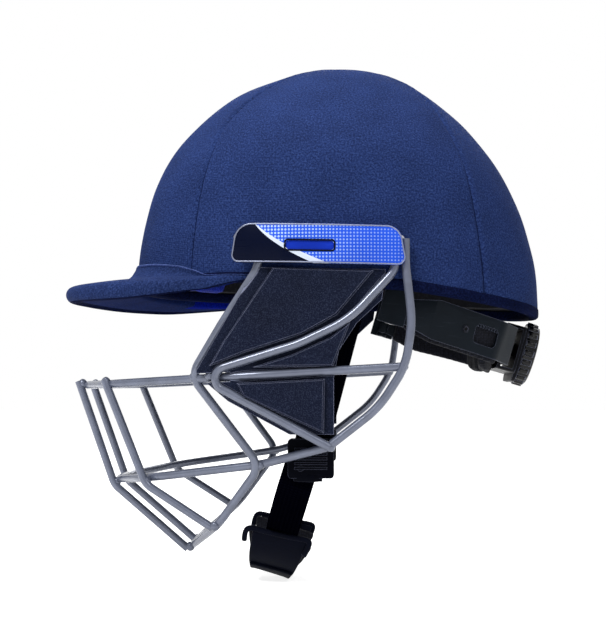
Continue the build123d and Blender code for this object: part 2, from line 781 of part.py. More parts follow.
half_band = band_height / 2
band = edge_strip(band_points, band_radii, band_thickness, -half_band, half_band)
band &= side_taper(band_points[0][0] - cut_over, 0)
temple = Vector(*band_points[1])
shoulder = Vector(*band_points[2])
side_run = shoulder - temple
run_angle = degrees(atan2(side_run.Y, side_run.X))
window_centre = temple + side_run * window_share
window_frame = Pos(window_centre.X, window_centre.Y, 0) * Rot(0, 0, run_angle)
window = Box(window_length, 4 * band_thickness, window_height)
window = fillet(window.edges().filter_by(Axis.Y), window_height / 4)
band -= window_frame * window
tooth_width = window_length / (2 * window_teeth)
tooth_top = window_height / 2 + weld / 4
tooth_place = Pos(0, 0, tooth_top - window_tooth_height / 2)
tooth = tooth_place * Box(tooth_width, band_thickness, window_tooth_height)
for index in range(window_teeth):
    along = (index + 0.5) * 2 * tooth_width - window_length / 2
    band += window_frame * Pos(along, 0, 0) * tooth


def upright(radius, low, high):
    """A round bar on the axis of the left temple hinge."""
    bar = Cylinder(radius, high - low, align=(Align.CENTER, Align.CENTER, Align.MIN))
    return Pos(band_anchor_x, -band_anchor_y, low) * bar


pin_low = -band_nose_low - fit_gap - lug_height
pin_high = band_nose_high + fit_gap + lug_height
band += upright(barrel_radius, -band_nose_low, band_nose_high)
band -= upright(anchor_pin_radius + shaft_gap, pin_low, pin_high)
save_pair("fit_band", slope_frame * band)


def round_inner(pad, radius):
    """The pad with the rim of its faces towards the head rounded off."""
    inner = []
    for face in pad.faces():
        centre = face.center()
        normal = face.normal_at(centre)
        towards = -(centre.X * normal.X + centre.Y * normal.Y) / (centre.X ** 2 + centre.Y ** 2) ** 0.5
        if towards > inner_share:
            inner.append(face)
    edges = [edge for face in inner for edge in face.edges()]
    rim = [edge for edge in edges if sum(edge.is_same(other) for other in edges) == 1]
    return fillet(rim, radius)


pad_shift = (band_thickness + band_pad_thickness) / 2 + hole_gap
pad_points = offset_route(band_points, pad_shift)[:4]
pad_points[3] = tuple(
    last + (end - last) * band_pad_end_share for last, end in zip(pad_points[2], pad_points[3])
)
pad_radii = [radius - pad_shift for radius in band_radii[:2]]
band_pad = edge_strip(pad_points, pad_radii, band_pad_thickness, -band_height, band_height)
band_pad &= side_taper(band_pad_start_x, band_pad_drop)
save_pair("fit_band_pad", slope_frame * round_inner(band_pad, band_pad_round))

lug_reach = barrel_radius + fit_gap + anchor_thickness / 2
for lug_low in (pin_low, band_nose_high + fit_gap):
    lug_place = Pos(band_anchor_x, -band_anchor_y - lug_reach / 2, lug_low + lug_height / 2)
    anchor_tab += lug_place * Box(2 * barrel_radius, lug_reach, lug_height)
    anchor_tab += upright(barrel_radius, lug_low, lug_low + lug_height)
anchor_tab -= upright(anchor_pin_radius, pin_low, pin_high)
anchor_pin = upright(anchor_pin_radius, pin_low, pin_high)
anchor_pin += upright(2 * anchor_pin_radius, pin_high, pin_high + pin_head_height)
save("temple_anchors", group([(slope_frame * anchor_tab).solid()]))
save("anchor_pins", group([(slope_frame * anchor_pin).solid()]))

# Ratchet housing
housing_x = housing_front_x + housing_depth / 2
housing = Pos(housing_x, 0, 0) * Box(housing_depth, 2 * housing_half_width, housing_height)
housing = fillet(housing.edges().filter_by(Axis.X), housing_corner)
hollow_height = housing_height - 2 * housing_wall
hollow = Box(housing_depth - 2 * housing_wall, 2 * housing_half_width + cut_over, hollow_height)
housing -= Pos(housing_x, 0, 0) * hollow
housing_rear_x = housing_front_x + housing_depth


def axial(radius, x_from, x_to):
    """A round bar along the dial's axis."""
    bar = Cylinder(radius, x_to - x_from, align=(Align.CENTER, Align.CENTER, Align.MIN))
    return Pos(x_from, 0, 0) * Rot(0, 90, 0) * bar


stub_radius = shaft_radius * stub_share
housing -= axial(stub_radius + shaft_gap, housing_front_x - cut_over, housing_x)
housing -= axial(shaft_radius + shaft_gap, housing_x, housing_rear_x + cut_over)
save("ratchet_housing", slope_frame * housing)

plate_high = (back_plate_top - back_plate_bottom) / 2
back_height = back_plate_top + back_plate_bottom
back_face = Plane.YZ * RectangleRounded(2 * back_plate_half_width, back_height, back_plate_corner)
back_plate = Pos(housing_rear_x, 0, plate_high) * extrude(back_face, amount=back_plate_thickness)
back_plate -= axial(shaft_radius + shaft_gap, housing_x, housing_rear_x + 2 * back_plate_thickness)
save("housing_back_plate", slope_frame * back_plate)

# Racks: toothed bars that slide across, one above the pinion and one below it
pitch_radius = pinion_module * pinion_teeth / 2
pitch = pi * pinion_module
rack_tip = pitch_radius - rack_addendum_share * pinion_module
rack_root = pitch_radius + pinion_module + fit_gap
flank = tan(radians(pressure_angle))


def rack_tooth(centre):
    half_pitch_width = (pitch / 2 - backlash) / 2
    tip_half = half_pitch_width - (pitch_radius - rack_tip) * flank
    root_half = half_pitch_width + (rack_root - pitch_radius) * flank
    over = rack_root + weld
    side = [(-root_half, over), (-root_half, rack_root), (-tip_half, rack_tip)]
    outline = side + [(-y, z) for y, z in side[::-1]]
    return make_face(Polyline(*[(centre + y, z) for y, z in outline], close=True))


rack_start = -(band_end_y - fit_gap)
rack_bar = [(rack_start, rack_root), (rack_far_y, rack_root)]
rack_bar += [(rack_far_y, rack_high), (rack_start, rack_high)]
rack_face = make_face(Polyline(*rack_bar, close=True))
first_tooth = int((rack_start + pitch) / pitch)
last_tooth = int((rack_far_y - pitch / 2) / pitch)
for index in range(first_tooth, last_tooth + 1):
    rack_face += rack_tooth(index * pitch)
rack_blank = extrude(Plane.YZ * rack_face, amount=rack_thickness)
left_rack = Pos(band_rear_x - rack_thickness / 2, 0, 0) * rack_blank
save("left_rack", slope_frame * left_rack)
save("right_rack", slope_frame * Rot(180, 0, 0) * left_rack)


# Pinion on its shaft
def involute(angle):
    return tan(angle) - angle


def pinion_outline():
    """Closed outline of the pinion: each flank as a few points of its involute."""
    base_radius = pitch_radius * cos(radians(pressure_angle))
    outer = pitch_radius + pinion_module
    root = pitch_radius - pinion_module
    half_tooth = (pi / 2 - backlash / 2 / pinion_module) / pinion_teeth
    flank_radii = [base_radius + (outer - base_radius) * share for share in flank_shares]
    reference = involute(radians(pressure_angle))
    outline = []
    for index in range(pinion_teeth):
        middle = (index + 0.5) * 2 * pi / pinion_teeth
        angles = [half_tooth + reference - involute(acos(base_radius / radius)) for radius in flank_radii]
        angles = [max(angle, min_half_angle) for angle in angles]
        rising = [(radius, middle - angle) for radius, angle in zip(flank_radii, angles)]
        falling = [(radius, middle + angle) for radius, angle in zip(flank_radii, angles)]
        ring = [(root, rising[0][1])] + rising + falling[::-1] + [(root, falling[0][1])]
        outline += [(radius * cos(angle), radius * sin(angle)) for radius, angle in ring]
    return outline


gear_face = Plane.YZ * make_face(Polyline(*pinion_outline(), close=True))
inner_front = housing_front_x + housing_wall + fit_gap
inner_rear = housing_rear_x - housing_wall - fit_gap
dial_front_x = housing_rear_x + back_plate_thickness + fit_gap
gear = Pos(inner_front, 0, 0) * extrude(gear_face, amount=inner_rear - inner_front)
pinion = gear + axial(stub_radius, housing_front_x, inner_front + weld)
pinion += axial(shaft_radius, inner_rear - weld, dial_front_x + dial_thickness / 2)
save("drive_pinion", slope_frame * pinion)

# Dial knob and its screw
knob = axial(dial_radius, dial_front_x, dial_front_x + dial_thickness)
knob = fillet(knob.edges().sort_by(Axis.X)[-1], dial_crown)
dial_rear_x = dial_front_x + dial_thickness
rib_bar = axial(dial_rib_radius, dial_front_x + dial_crown / 2, dial_rear_x - dial_crown)
rib_bar = Pos(0, dial_radius + dial_rib_rise - dial_rib_radius, 0) * rib_bar
for index in range(dial_ribs):
    knob += Rot(360 / dial_ribs * index, 0, 0) * rib_bar
knob -= axial(dial_recess_radius, dial_rear_x - dial_recess, dial_rear_x + cut_over)
knob -= axial(shaft_radius, dial_front_x - cut_over, dial_front_x + dial_thickness / 2)
screw_shank = dial_screw_radius / 2
knob -= axial(screw_shank, dial_front_x, dial_rear_x)
save("dial_knob", slope_frame * knob)
head_low_x = dial_rear_x - dial_recess
dial_screw = axial(screw_shank, dial_front_x + dial_thickness / 2, head_low_x)
dial_screw += axial(dial_screw_radius, head_low_x, head_low_x + dial_recess)
save("dial_screw", slope_frame * dial_screw)

# Nape pad, in front of the housing
nape_face = Plane.YZ * RectangleRounded(2 * nape_half_width, nape_height, nape_corner)
nape_prism = extrude(nape_face, amount=rim_reach)
nape_outer_x = housing_front_x - fit_gap
nape_drum = Cylinder(nape_bend_radius, 2 * nape_height)
nape_drum -= Cylinder(nape_bend_radius - nape_thickness, 2 * nape_height)
nape_pad = nape_prism & (Pos(nape_outer_x - nape_bend_radius, 0, 0) * nape_drum)
save("nape_pad", slope_frame * Pos(0, 0, nape_z) * round_inner(nape_pad, nape_round))

# Comfort pads on the liner, each a crowned cushion trimmed to its wall
inside_liner = dome(pad_outer)


def ring_pad(centre_x, radius, half_depth, half_height, z, half_angle, side):
    """A cushion of oval section along an arc, in front with side -1 or behind with side 1."""
    oval = Plane.XZ * Pos(radius, 0) * Ellipse(half_depth, half_height)
    arc = revolve(oval, Axis.Z, 2 * half_angle)
    turn = -half_angle if side > 0 else 180 - half_angle
    pad = Pos(centre_x, 0, z) * Rot(0, 0, turn) * arc
    ends = pad.faces().filter_by(GeomType.PLANE)
    return fillet(ends.edges(), half_depth / 4) & inside_liner


def lens_pad(place, half_sizes):
    """A cushion of lens shape against the liner."""
    return (Pos(*place) * scale(Sphere(1), by=half_sizes)) & inside_liner


brow_sizes = (brow_half_depth, brow_half_height, brow_z, brow_half_angle)
rear_sizes = (brow_half_depth, rear_half_height, rear_z, rear_half_angle)
save("brow_pad", ring_pad(brow_centre_x, brow_radius, *brow_sizes, -1))
save("rear_pad", ring_pad(rear_centre_x, rear_radius, *rear_sizes, 1))
side_x, side_y, side_z = side_pad_place
save_pair("side_pad", lens_pad((side_x, -side_y, side_z), side_pad_half_sizes))
save("crown_pad", lens_pad((crown_pad_x, 0, dome_height - crown_pad_drop), crown_pad_half_sizes))
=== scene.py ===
import json
import math

import bpy
from mathutils import Matrix, Vector, noise


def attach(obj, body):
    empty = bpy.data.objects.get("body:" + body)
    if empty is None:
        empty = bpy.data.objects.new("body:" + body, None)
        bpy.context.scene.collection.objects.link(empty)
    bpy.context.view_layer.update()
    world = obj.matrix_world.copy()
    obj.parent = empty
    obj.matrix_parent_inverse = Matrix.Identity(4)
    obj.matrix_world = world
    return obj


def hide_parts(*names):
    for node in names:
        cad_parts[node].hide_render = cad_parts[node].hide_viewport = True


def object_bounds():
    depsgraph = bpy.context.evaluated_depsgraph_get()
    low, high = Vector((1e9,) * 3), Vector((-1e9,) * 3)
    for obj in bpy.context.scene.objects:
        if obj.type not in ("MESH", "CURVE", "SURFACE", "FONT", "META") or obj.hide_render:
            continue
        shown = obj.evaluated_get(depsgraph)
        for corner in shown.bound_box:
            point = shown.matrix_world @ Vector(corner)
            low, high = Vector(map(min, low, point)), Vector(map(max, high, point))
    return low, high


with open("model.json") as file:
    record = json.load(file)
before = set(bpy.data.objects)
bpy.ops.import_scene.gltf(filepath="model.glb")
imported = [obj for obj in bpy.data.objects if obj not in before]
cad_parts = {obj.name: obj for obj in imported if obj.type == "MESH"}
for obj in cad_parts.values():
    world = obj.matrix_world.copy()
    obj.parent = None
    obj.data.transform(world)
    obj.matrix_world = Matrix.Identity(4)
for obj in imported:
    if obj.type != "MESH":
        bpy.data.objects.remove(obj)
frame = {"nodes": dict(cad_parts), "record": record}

# Looks of a cloth-covered batting helmet. Lengths are written in millimetres and stored in metres.
# Front is -X, the wearer's left is -Y, up is +Z.
cad_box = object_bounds()
scene = bpy.context.scene
scene.view_settings.view_transform = "Standard"
MM = 0.001
TURN = 2 * math.pi
SIDES = (("left", -1), ("right", 1))
NODES = frame["nodes"]

# Dome of the helmet, as in the CAD: half sizes, middle and lean
DOME = (129.3, 107.8, 151.4)
DOME_X, DOME_Z = -1.8, -0.6
LEAN = math.radians(-8.2)
COS, SIN = math.cos(LEAN), math.sin(LEAN)

# Rim line in side view, as (x, z): level at the front, then two straight runs down to the rear
RIM_FRONT, RIM_BEND, RIM_REAR = (-64.65, 4.6), (42.0, -1.1), (127.0, -12.7)


def smooth(low, high, value):
    t = min(1.0, max(0.0, (value - low) / (high - low)))
    return t * t * (3 - 2 * t)


def bump(distance, width):
    return math.exp(-(distance / width) ** 2)


def mix(a, b, t):
    return a + (b - a) * t


def table_value(table, x):
    """Value at x in a table of (x, value) pairs, straight between them and level outside."""
    for (x0, v0), (x1, v1) in zip(table, table[1:]):
        if x <= x1:
            return mix(v0, v1, max(0.0, (x - x0) / (x1 - x0)))
    return table[-1][1]


def dome_point(direction):
    """Point of the dome for a unit direction in its own frame, in mm."""
    x, y, z = (direction[i] * DOME[i] for i in range(3))
    return Vector((x * COS + z * SIN + DOME_X, y, -x * SIN + z * COS + DOME_Z))


def dome_direction(point):
    x, z = point.x - DOME_X, point.z - DOME_Z
    local = Vector(((x * COS - z * SIN) / DOME[0], point.y / DOME[1], (x * SIN + z * COS) / DOME[2]))
    return local.normalized()


def dome_normal(point):
    d = dome_direction(point)
    n = Vector((d.x / DOME[0], d.y / DOME[1], d.z / DOME[2])).normalized()
    return Vector((n.x * COS + n.z * SIN, n.y, -n.x * SIN + n.z * COS))


def dome_above(x, y):
    """Point on the upper half of the dome over a plan point."""
    a, b, h = DOME
    u = x - DOME_X
    k2 = (SIN / a) ** 2 + (COS / h) ** 2
    k1 = 2 * u * SIN * COS * (1 / h ** 2 - 1 / a ** 2)
    k0 = (u * COS / a) ** 2 + (y / b) ** 2 + (u * SIN / h) ** 2 - 1
    z = (-k1 + math.sqrt(max(0.0, k1 * k1 - 4 * k2 * k0))) / (2 * k2)
    return Vector((x, y, z + DOME_Z))


def wall_at(psi, z, grow=0.0):
    """Point of the dome at a height, at azimuth psi round the middle: 0 is the rear."""
    a, b, h = (size + grow for size in DOME)
    w = z - DOME_Z
    cp, sp = math.cos(psi), math.sin(psi)
    k2 = (cp * COS / a) ** 2 + (sp / b) ** 2 + (cp * SIN / h) ** 2
    k1 = 2 * cp * w * SIN * COS * (1 / h ** 2 - 1 / a ** 2)
    k0 = (w * SIN / a) ** 2 + (w * COS / h) ** 2 - 1
    r = (-k1 + math.sqrt(k1 * k1 - 4 * k2 * k0)) / (2 * k2)
    return Vector((DOME_X + r * cp, r * sp, z))


def rim_z(x):
    if x < RIM_FRONT[0]:
        return RIM_FRONT[1]
    (x0, z0), (x1, z1) = (RIM_FRONT, RIM_BEND) if x < RIM_BEND[0] else (RIM_BEND, RIM_REAR)
    return z0 + (z1 - z0) * (x - x0) / (x1 - x0)


def rim_point(psi, lift, grow=0.0):
    """Point of the dome at a height above the rim line."""
    point = Vector((0, 0, 0))
    for _ in range(8):
        point = wall_at(psi, rim_z(point.x) + lift, grow)
    return point


def spline(points, count):
    """A smooth line through the points, as count + 1 places."""
    pts = [Vector(p) for p in points]
    ends = [pts[0] * 2 - pts[1]] + pts + [pts[-1] * 2 - pts[-2]]
    result = []
    for k in range(count + 1):
        s = k / count * (len(pts) - 1)
        i = min(int(s), len(pts) - 2)
        t = s - i
        p0, p1, p2, p3 = ends[i:i + 4]
        result.append(0.5 * (2 * p1 + (p2 - p0) * t + (2 * p0 - 5 * p1 + 4 * p2 - p3) * t ** 2
                             + (3 * p1 - p0 - 3 * p2 + p3) * t ** 3))
    return result


# Mesh helpers
def linked(name, data):
    """A new object in the scene."""
    obj = bpy.data.objects.new(name, data)
    scene.collection.objects.link(obj)
    return obj


def piece(name, points, faces, looks, body="helmet"):
    mesh = bpy.data.meshes.new(name)
    mesh.from_pydata([Vector(p) * MM for p in points], [], faces)
    for look in looks:
        mesh.materials.append(MATERIALS[look])
    mesh.update()
    mesh.shade_smooth()
    obj = linked(name, mesh)
    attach(obj, body)
    return obj


def grid_faces(rows, cols, wrap_rows=False, wrap_cols=False):
    faces = []
    for i in range(rows if wrap_rows else rows - 1):
        for j in range(cols if wrap_cols else cols - 1):
            i2, j2 = (i + 1) % rows, (j + 1) % cols
            faces.append((i * cols + j, i * cols + j2, i2 * cols + j2, i2 * cols + j))
    return faces


def tube_faces(rows, cols):
    """Faces of a row of closed rings, with a cap on the first and the last."""
    caps = [tuple(range(cols - 1, -1, -1)), tuple(range((rows - 1) * cols, rows * cols))]
    return grid_faces(rows, cols, wrap_cols=True) + caps


def add_uv(obj, coords):
    """UVs from one pair per vertex, in units of 100 mm."""
    layer = obj.data.uv_layers.new(name="cloth")
    for loop in obj.data.loops:
        u, v = coords[loop.vertex_index]
        layer.data[loop.index].uv = (u * 0.01, v * 0.01)


def modify(obj, kind, **settings):
    mod = obj.modifiers.new(kind.lower(), kind)
    for key, value in settings.items():
        setattr(mod, key, value)
    return mod


def soften(obj, width, segments, degrees, **settings):
    """Round the edges that are sharper than an angle, by a width in mm."""
    modify(obj, "BEVEL", width=width * MM, segments=segments, limit_method="ANGLE",
           angle_limit=math.radians(degrees), **settings)


def evaluated_mesh(obj):
    return bpy.data.meshes.new_from_object(obj.evaluated_get(bpy.context.evaluated_depsgraph_get()))


def bake(obj):
    """Apply the modifiers of a piece."""
    mesh = evaluated_mesh(obj)
    old = obj.data
    obj.modifiers.clear()
    obj.data = mesh
    mesh.name = obj.name
    bpy.data.meshes.remove(old)
    return obj


def refine(obj):
    """Subdivide a piece once."""
    modify(obj, "SUBSURF", levels=1, render_levels=1)
    bake(obj)


def mirror_of(obj, name):
    """The right-hand copy of a left-hand piece."""
    mesh = obj.data.copy()
    mesh.name = name
    mesh.transform(Matrix.Scale(-1, 4, (0, 1, 0)))
    mesh.flip_normals()
    other = linked(name, mesh)
    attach(other, "helmet")
    return other


def turn_outward(obj):
    """Turn the faces of a closed piece outward from its own middle."""
    mesh = obj.data
    middle = sum((v.co for v in mesh.vertices), Vector()) / len(mesh.vertices)
    volume = sum(f.normal.dot(f.center) * f.area for f in mesh.polygons)
    volume -= sum(f.normal.dot(middle) * f.area for f in mesh.polygons)
    if volume < 0:
        mesh.flip_normals()


def swept(name, path, section, up, look, body="helmet", closed=False):
    """A closed section, a list of (side, up) pairs, run along a path."""
    count, cols = len(path), len(section)
    points = []
    for i, p in enumerate(path):
        if closed:
            along = path[(i + 1) % count] - path[i - 1]
        else:
            along = path[min(i + 1, count - 1)] - path[max(i - 1, 0)]
        t = along.normalized()
        side = t.cross(up).normalized()
        rise = side.cross(t).normalized()
        points += [p + side * a + rise * b for a, b in section]
    faces = grid_faces(count, cols, True, True) if closed else tube_faces(count, cols)
    obj = piece(name, points, faces, [look], body)
    turn_outward(obj)
    return obj


def oval(width, height, count=16, power=2.0):
    """A closed oval or rounded-box section."""
    result = []
    for k in range(count):
        a = TURN * k / count
        c, s = math.cos(a), math.sin(a)
        result.append((math.copysign(abs(c) ** (2 / power), c) * width / 2,
                       math.copysign(abs(s) ** (2 / power), s) * height / 2))
    return result


def blob(points, faces, centre, radius, seed):
    """Add a slightly uneven bead to a mesh's points and faces."""
    base, rings, spokes = len(points), 9, 14
    for i in range(rings):
        a = math.pi * (i + 0.5) / rings
        for k in range(spokes):
            b = TURN * k / spokes
            d = Vector((math.sin(a) * math.cos(b), math.sin(a) * math.sin(b), math.cos(a)))
            uneven = 1 + 0.12 * noise.noise(d * 2.2 + Vector((seed, 0, 0)))
            points.append(centre + d * radius * uneven)
    faces += [tuple(base + n for n in f) for f in tube_faces(rings, spokes)]


def rounded(corners, steps=7):
    """A closed outline from (x, z, radius) corners, each rounded by an arc."""
    result = []
    count = len(corners)
    for i, (x, z, radius) in enumerate(corners):
        here = Vector((x, z))
        before = (Vector(corners[i - 1][:2]) - here).normalized()
        after = (Vector(corners[(i + 1) % count][:2]) - here).normalized()
        half = before.angle(after) / 2
        middle = here + (before + after).normalized() * (radius / math.sin(half))
        start, end = here + before * radius / math.tan(half), here + after * radius / math.tan(half)
        for k in range(steps + 1):
            arm = (start - middle).lerp(end - middle, k / steps).normalized() * radius
            result.append(middle + arm)
    return result


# Materials
MATERIALS = {}


class Tree:
    """A node tree and short ways to add nodes to it."""

    def __init__(self, tree):
        self.nodes, self.links = tree.nodes, tree.links

    def add(self, kind, **settings):
        node = self.nodes.new("ShaderNode" + kind)
        for key, value in settings.items():
            setattr(node, key, value)
        return node

    def put(self, socket, value):
        """Link an output to a socket, or set the socket's value."""
        if isinstance(value, bpy.types.NodeSocket):
            self.links.new(value, socket)
        else:
            socket.default_value = value

    def feed(self, node, **values):
        for key, value in values.items():
            self.put(node.inputs[key.replace("_", " ")], value)
        return node

    def math(self, operation, a, b=0.0, clamp=False):
        node = self.add("Math", operation=operation, use_clamp=clamp)
        self.put(node.inputs[0], a)
        self.put(node.inputs[1], b)
        return node.outputs[0]

    def rays(self, *kinds):
        """1 for rays of any of the kinds, 0 for all others."""
        path = self.add("LightPath")
        seen = path.outputs[kinds[0]]
        for kind in kinds[1:]:
            seen = self.math("MAXIMUM", seen, path.outputs[kind])
        return seen


class Shader(Tree):
    """A Principled material."""

    def __init__(self, name, rough, metal=0.0, spec=0.5, sheen=0.0):
        self.mat = MATERIALS[name] = bpy.data.materials.new(name)
        self.mat.use_nodes = True
        super().__init__(self.mat.node_tree)
        self.bsdf = self.nodes["Principled BSDF"]
        self.feed(self.bsdf, Roughness=rough, Metallic=metal, Specular_IOR_Level=spec, Sheen_Weight=sheen)
        self.coords = self.add("TexCoord")

    def where(self, source="Object", scale=None, turn=(0, 0, 0)):
        """Texture coordinates in millimetres, or stretched by a scale."""
        scale = scale or ((100, 100, 100) if source == "UV" else (1000, 1000, 1000))
        angles = [math.radians(a) for a in turn]
        mapping = self.add("Mapping")
        self.feed(mapping, Vector=self.coords.outputs[source], Scale=scale, Rotation=angles)
        return mapping.outputs["Vector"]

    def noise(self, vector, size, detail=2.0, rough=0.5):
        """Noise with spots about size millimetres wide."""
        node = self.add("TexNoise")
        self.feed(node, Vector=vector, Scale=1.0 / size, Detail=detail, Roughness=rough)
        return node.outputs["Fac"]

    def cells(self, vector, size, randomness):
        node = self.add("TexVoronoi", feature="F1")
        self.feed(node, Vector=vector, Scale=1.0 / size, Randomness=randomness)
        return node.outputs["Distance"]

    def wave(self, vector, pitch, direction, distortion):
        node = self.add("TexWave", wave_type="BANDS", bands_direction=direction, wave_profile="SIN")
        self.feed(node, Vector=vector, Scale=TURN / 20.0 / pitch, Distortion=distortion, Detail=1.0)
        return node.outputs["Fac"]

    def ramp(self, value, stops):
        """Colours or greys at places along a value."""
        node = self.add("ValToRGB")
        self.feed(node, Fac=value)
        band = node.color_ramp
        while len(band.elements) < len(stops):
            band.elements.new(0.5)
        for element, (place, colour) in zip(band.elements, stops):
            element.position = place
            element.color = tint(colour)
        return node.outputs["Color"]

    def blend(self, factor, a, b, mode="MIX"):
        node = self.add("Mix", data_type="RGBA", blend_type=mode, clamp_factor=True)
        for name, value in (("Factor", factor), ("A", tint(a)), ("B", tint(b))):
            self.put(next(s for s in node.inputs if s.name == name and s.enabled), value)
        return next(s for s in node.outputs if s.enabled)

    def edges(self, width):
        """1 along the edges of the piece, 0 on its faces."""
        bevel = self.feed(self.add("Bevel", samples=4), Radius=width * MM)
        facing = self.add("VectorMath", operation="DOT_PRODUCT")
        self.put(facing.inputs[0], bevel.outputs["Normal"])
        self.put(facing.inputs[1], self.add("NewGeometry").outputs["True Normal"])
        return self.ramp(facing.outputs["Value"], [(0.82, 1.0), (0.965, 0.0)])

    def colour(self, value):
        self.feed(self.bsdf, Base_Color=tint(value))

    def rough(self, value, low, high):
        """Roughness that runs from low to high with a value."""
        node = self.feed(self.add("MapRange"), Value=value, To_Min=low, To_Max=high)
        self.feed(self.bsdf, Roughness=node.outputs["Result"])

    def bump(self, *layers):
        """Bumps, each a height value with its depth in mm."""
        normal = None
        for height, depth in layers:
            node = self.feed(self.add("Bump"), Strength=1.0, Distance=depth * MM, Height=height)
            if normal:
                self.feed(node, Normal=normal)
            normal = node.outputs["Normal"]
        self.feed(self.bsdf, Normal=normal)


def tint(colour):
    """A colour or a grey with full alpha; a node's output stays as it is."""
    if isinstance(colour, bpy.types.NodeSocket):
        return colour
    if isinstance(colour, (int, float)):
        colour = (colour,) * 3
    return (*colour[:3], 1.0)


def srgb(red, green, blue):
    """A linear colour from screen values of 0 to 255."""
    shares = (v / 255 for v in (red, green, blue))
    return tuple(((s + 0.055) / 1.055) ** 2.4 if s > 10 / 255 else s / 12.92 for s in shares)


def cloth_material(name, base, light, dark, source="Object", pitch=0.9, depth=0.12, sheen=0.04, spec=0.04):
    """Woven cloth: crossing threads, melange speckle and soft changes of tone."""
    base, light, dark = srgb(*base), srgb(*light), srgb(*dark)
    m = Shader(name, 0.85, spec=spec, sheen=sheen)
    place = m.where(source)
    threads = m.math("MULTIPLY", m.wave(place, pitch, "X", 0.6), m.wave(place, pitch, "Y", 0.6))
    speckle = m.noise(place, 1.1, 3.0, 0.75)
    patches = m.noise(place, 26.0, 3.0, 0.5)
    tone = m.ramp(speckle, [(0.34, dark), (0.5, base), (0.66, light)])
    tone = m.blend(m.math("MULTIPLY", threads, 0.35), tone, light)
    shade = m.ramp(patches, [(0.3, 0.82), (0.7, 1.12)])
    m.colour(m.blend(1.0, tone, shade, "MULTIPLY"))
    m.rough(speckle, 0.75, 0.95)
    m.feed(m.bsdf, Sheen_Roughness=0.45, Sheen_Tint=tint(light))
    m.bump((threads, depth), (speckle, 0.10), (patches, 0.35))


def knit_material(name, base, light):
    """Brushed knit over foam, for the pads."""
    m = Shader(name, 0.9, spec=0.08, sheen=0.08)
    place = m.where()
    loops = m.cells(place, 1.6, 0.35)
    fuzz = m.noise(place, 0.7, 3.0, 0.7)
    patches = m.noise(place, 22.0, 2.0)
    tone = m.blend(m.ramp(loops, [(0.1, 0.0), (0.7, 1.0)]), srgb(*light), srgb(*base))
    shade = m.ramp(patches, [(0.3, 0.8), (0.7, 1.15)])
    m.colour(m.blend(1.0, tone, shade, "MULTIPLY"))
    m.rough(fuzz, 0.8, 1.0)
    m.feed(m.bsdf, Sheen_Roughness=0.5)
    m.bump((loops, -0.35), (fuzz, 0.12), (patches, 0.4))


def plastic_material(name, base, rough, grain=0.8, depth=0.05, worn=None, spec=0.06, flecks=0.0, painted_edge_highlight=0.0,
                     scuffed=0.45):
    """Moulded plastic with a fine grain, faint scuffs, changes of gloss and a painted highlight along its edges."""
    base = srgb(*base)
    light = srgb(*worn) if worn else tuple(min(1.0, c * 1.7 + 0.01) for c in base)
    m = Shader(name, rough, spec=spec)
    place = m.where()
    fine = m.noise(place, grain, 3.0, 0.7)
    cloudy = m.noise(place, 18.0, 3.0, 0.55)
    scuff = m.noise(m.where(scale=(90, 90, 900), turn=(20, 35, 10)), 1.0, 4.0, 0.6)
    tone = m.blend(m.ramp(scuff, [(0.6, 0.0), (0.78, scuffed)]), base, light)
    if flecks:
        tone = m.blend(m.ramp(fine, [(0.5, 0.0), (0.66, flecks)]), tone, light)
    shade = m.ramp(cloudy, [(0.3, 0.85), (0.7, 1.15)])
    tone = m.blend(1.0, tone, shade, "MULTIPLY")
    # Painted highlight: a pale blue-grey laid along the edges, in place of light glinting on rounded edges and ribs
    if painted_edge_highlight:
        tone = m.blend(m.math("MULTIPLY", m.edges(0.7), painted_edge_highlight), tone, srgb(150, 156, 184))
    m.colour(tone)
    m.rough(cloudy, rough * 0.85, min(1.0, rough * 1.2))
    m.bump((fine, depth), (scuff, 0.01))


def metal_material(name, base, rough, metal=1.0, spec=0.5):
    """Satin or brushed metal."""
    base = srgb(*base)
    pale, dull, dark = (tuple(min(1.0, c * f) for c in base) for f in (1.1, 0.86, 0.55))
    m = Shader(name, rough, metal=metal, spec=spec)
    place = m.where()
    lines = m.noise(m.where(scale=(120, 120, 1600)), 1.0, 3.0, 0.6)
    cloudy = m.noise(place, 9.0, 3.0, 0.6)
    specks = m.noise(place, 0.9, 2.0, 0.8)
    tone = m.ramp(cloudy, [(0.3, dull), (0.7, pale)])
    m.colour(m.blend(m.ramp(specks, [(0.66, 0.0), (0.8, 0.35)]), tone, dark))
    m.rough(cloudy, rough * 0.8, rough * 1.25)
    m.bump((lines, 0.01), (specks, 0.015))


def webbing_material(name, base, light):
    """Ribbed woven webbing."""
    base, light = srgb(*base), srgb(*light)
    m = Shader(name, 0.9, spec=0.0)
    place = m.where("UV")
    ribs = m.wave(place, 1.5, "Y", 0.3)
    cross = m.wave(place, 2.4, "X", 0.4)
    fuzz = m.noise(place, 0.8, 3.0, 0.7)
    weave = m.math("MULTIPLY", ribs, cross)
    tone = m.blend(m.math("MULTIPLY", weave, 0.5), base, light)
    m.colour(m.blend(m.ramp(fuzz, [(0.5, 0.0), (0.8, 0.4)]), tone, light))
    m.rough(fuzz, 0.75, 0.95)
    m.bump((ribs, 0.16), (cross, 0.08), (fuzz, 0.05))


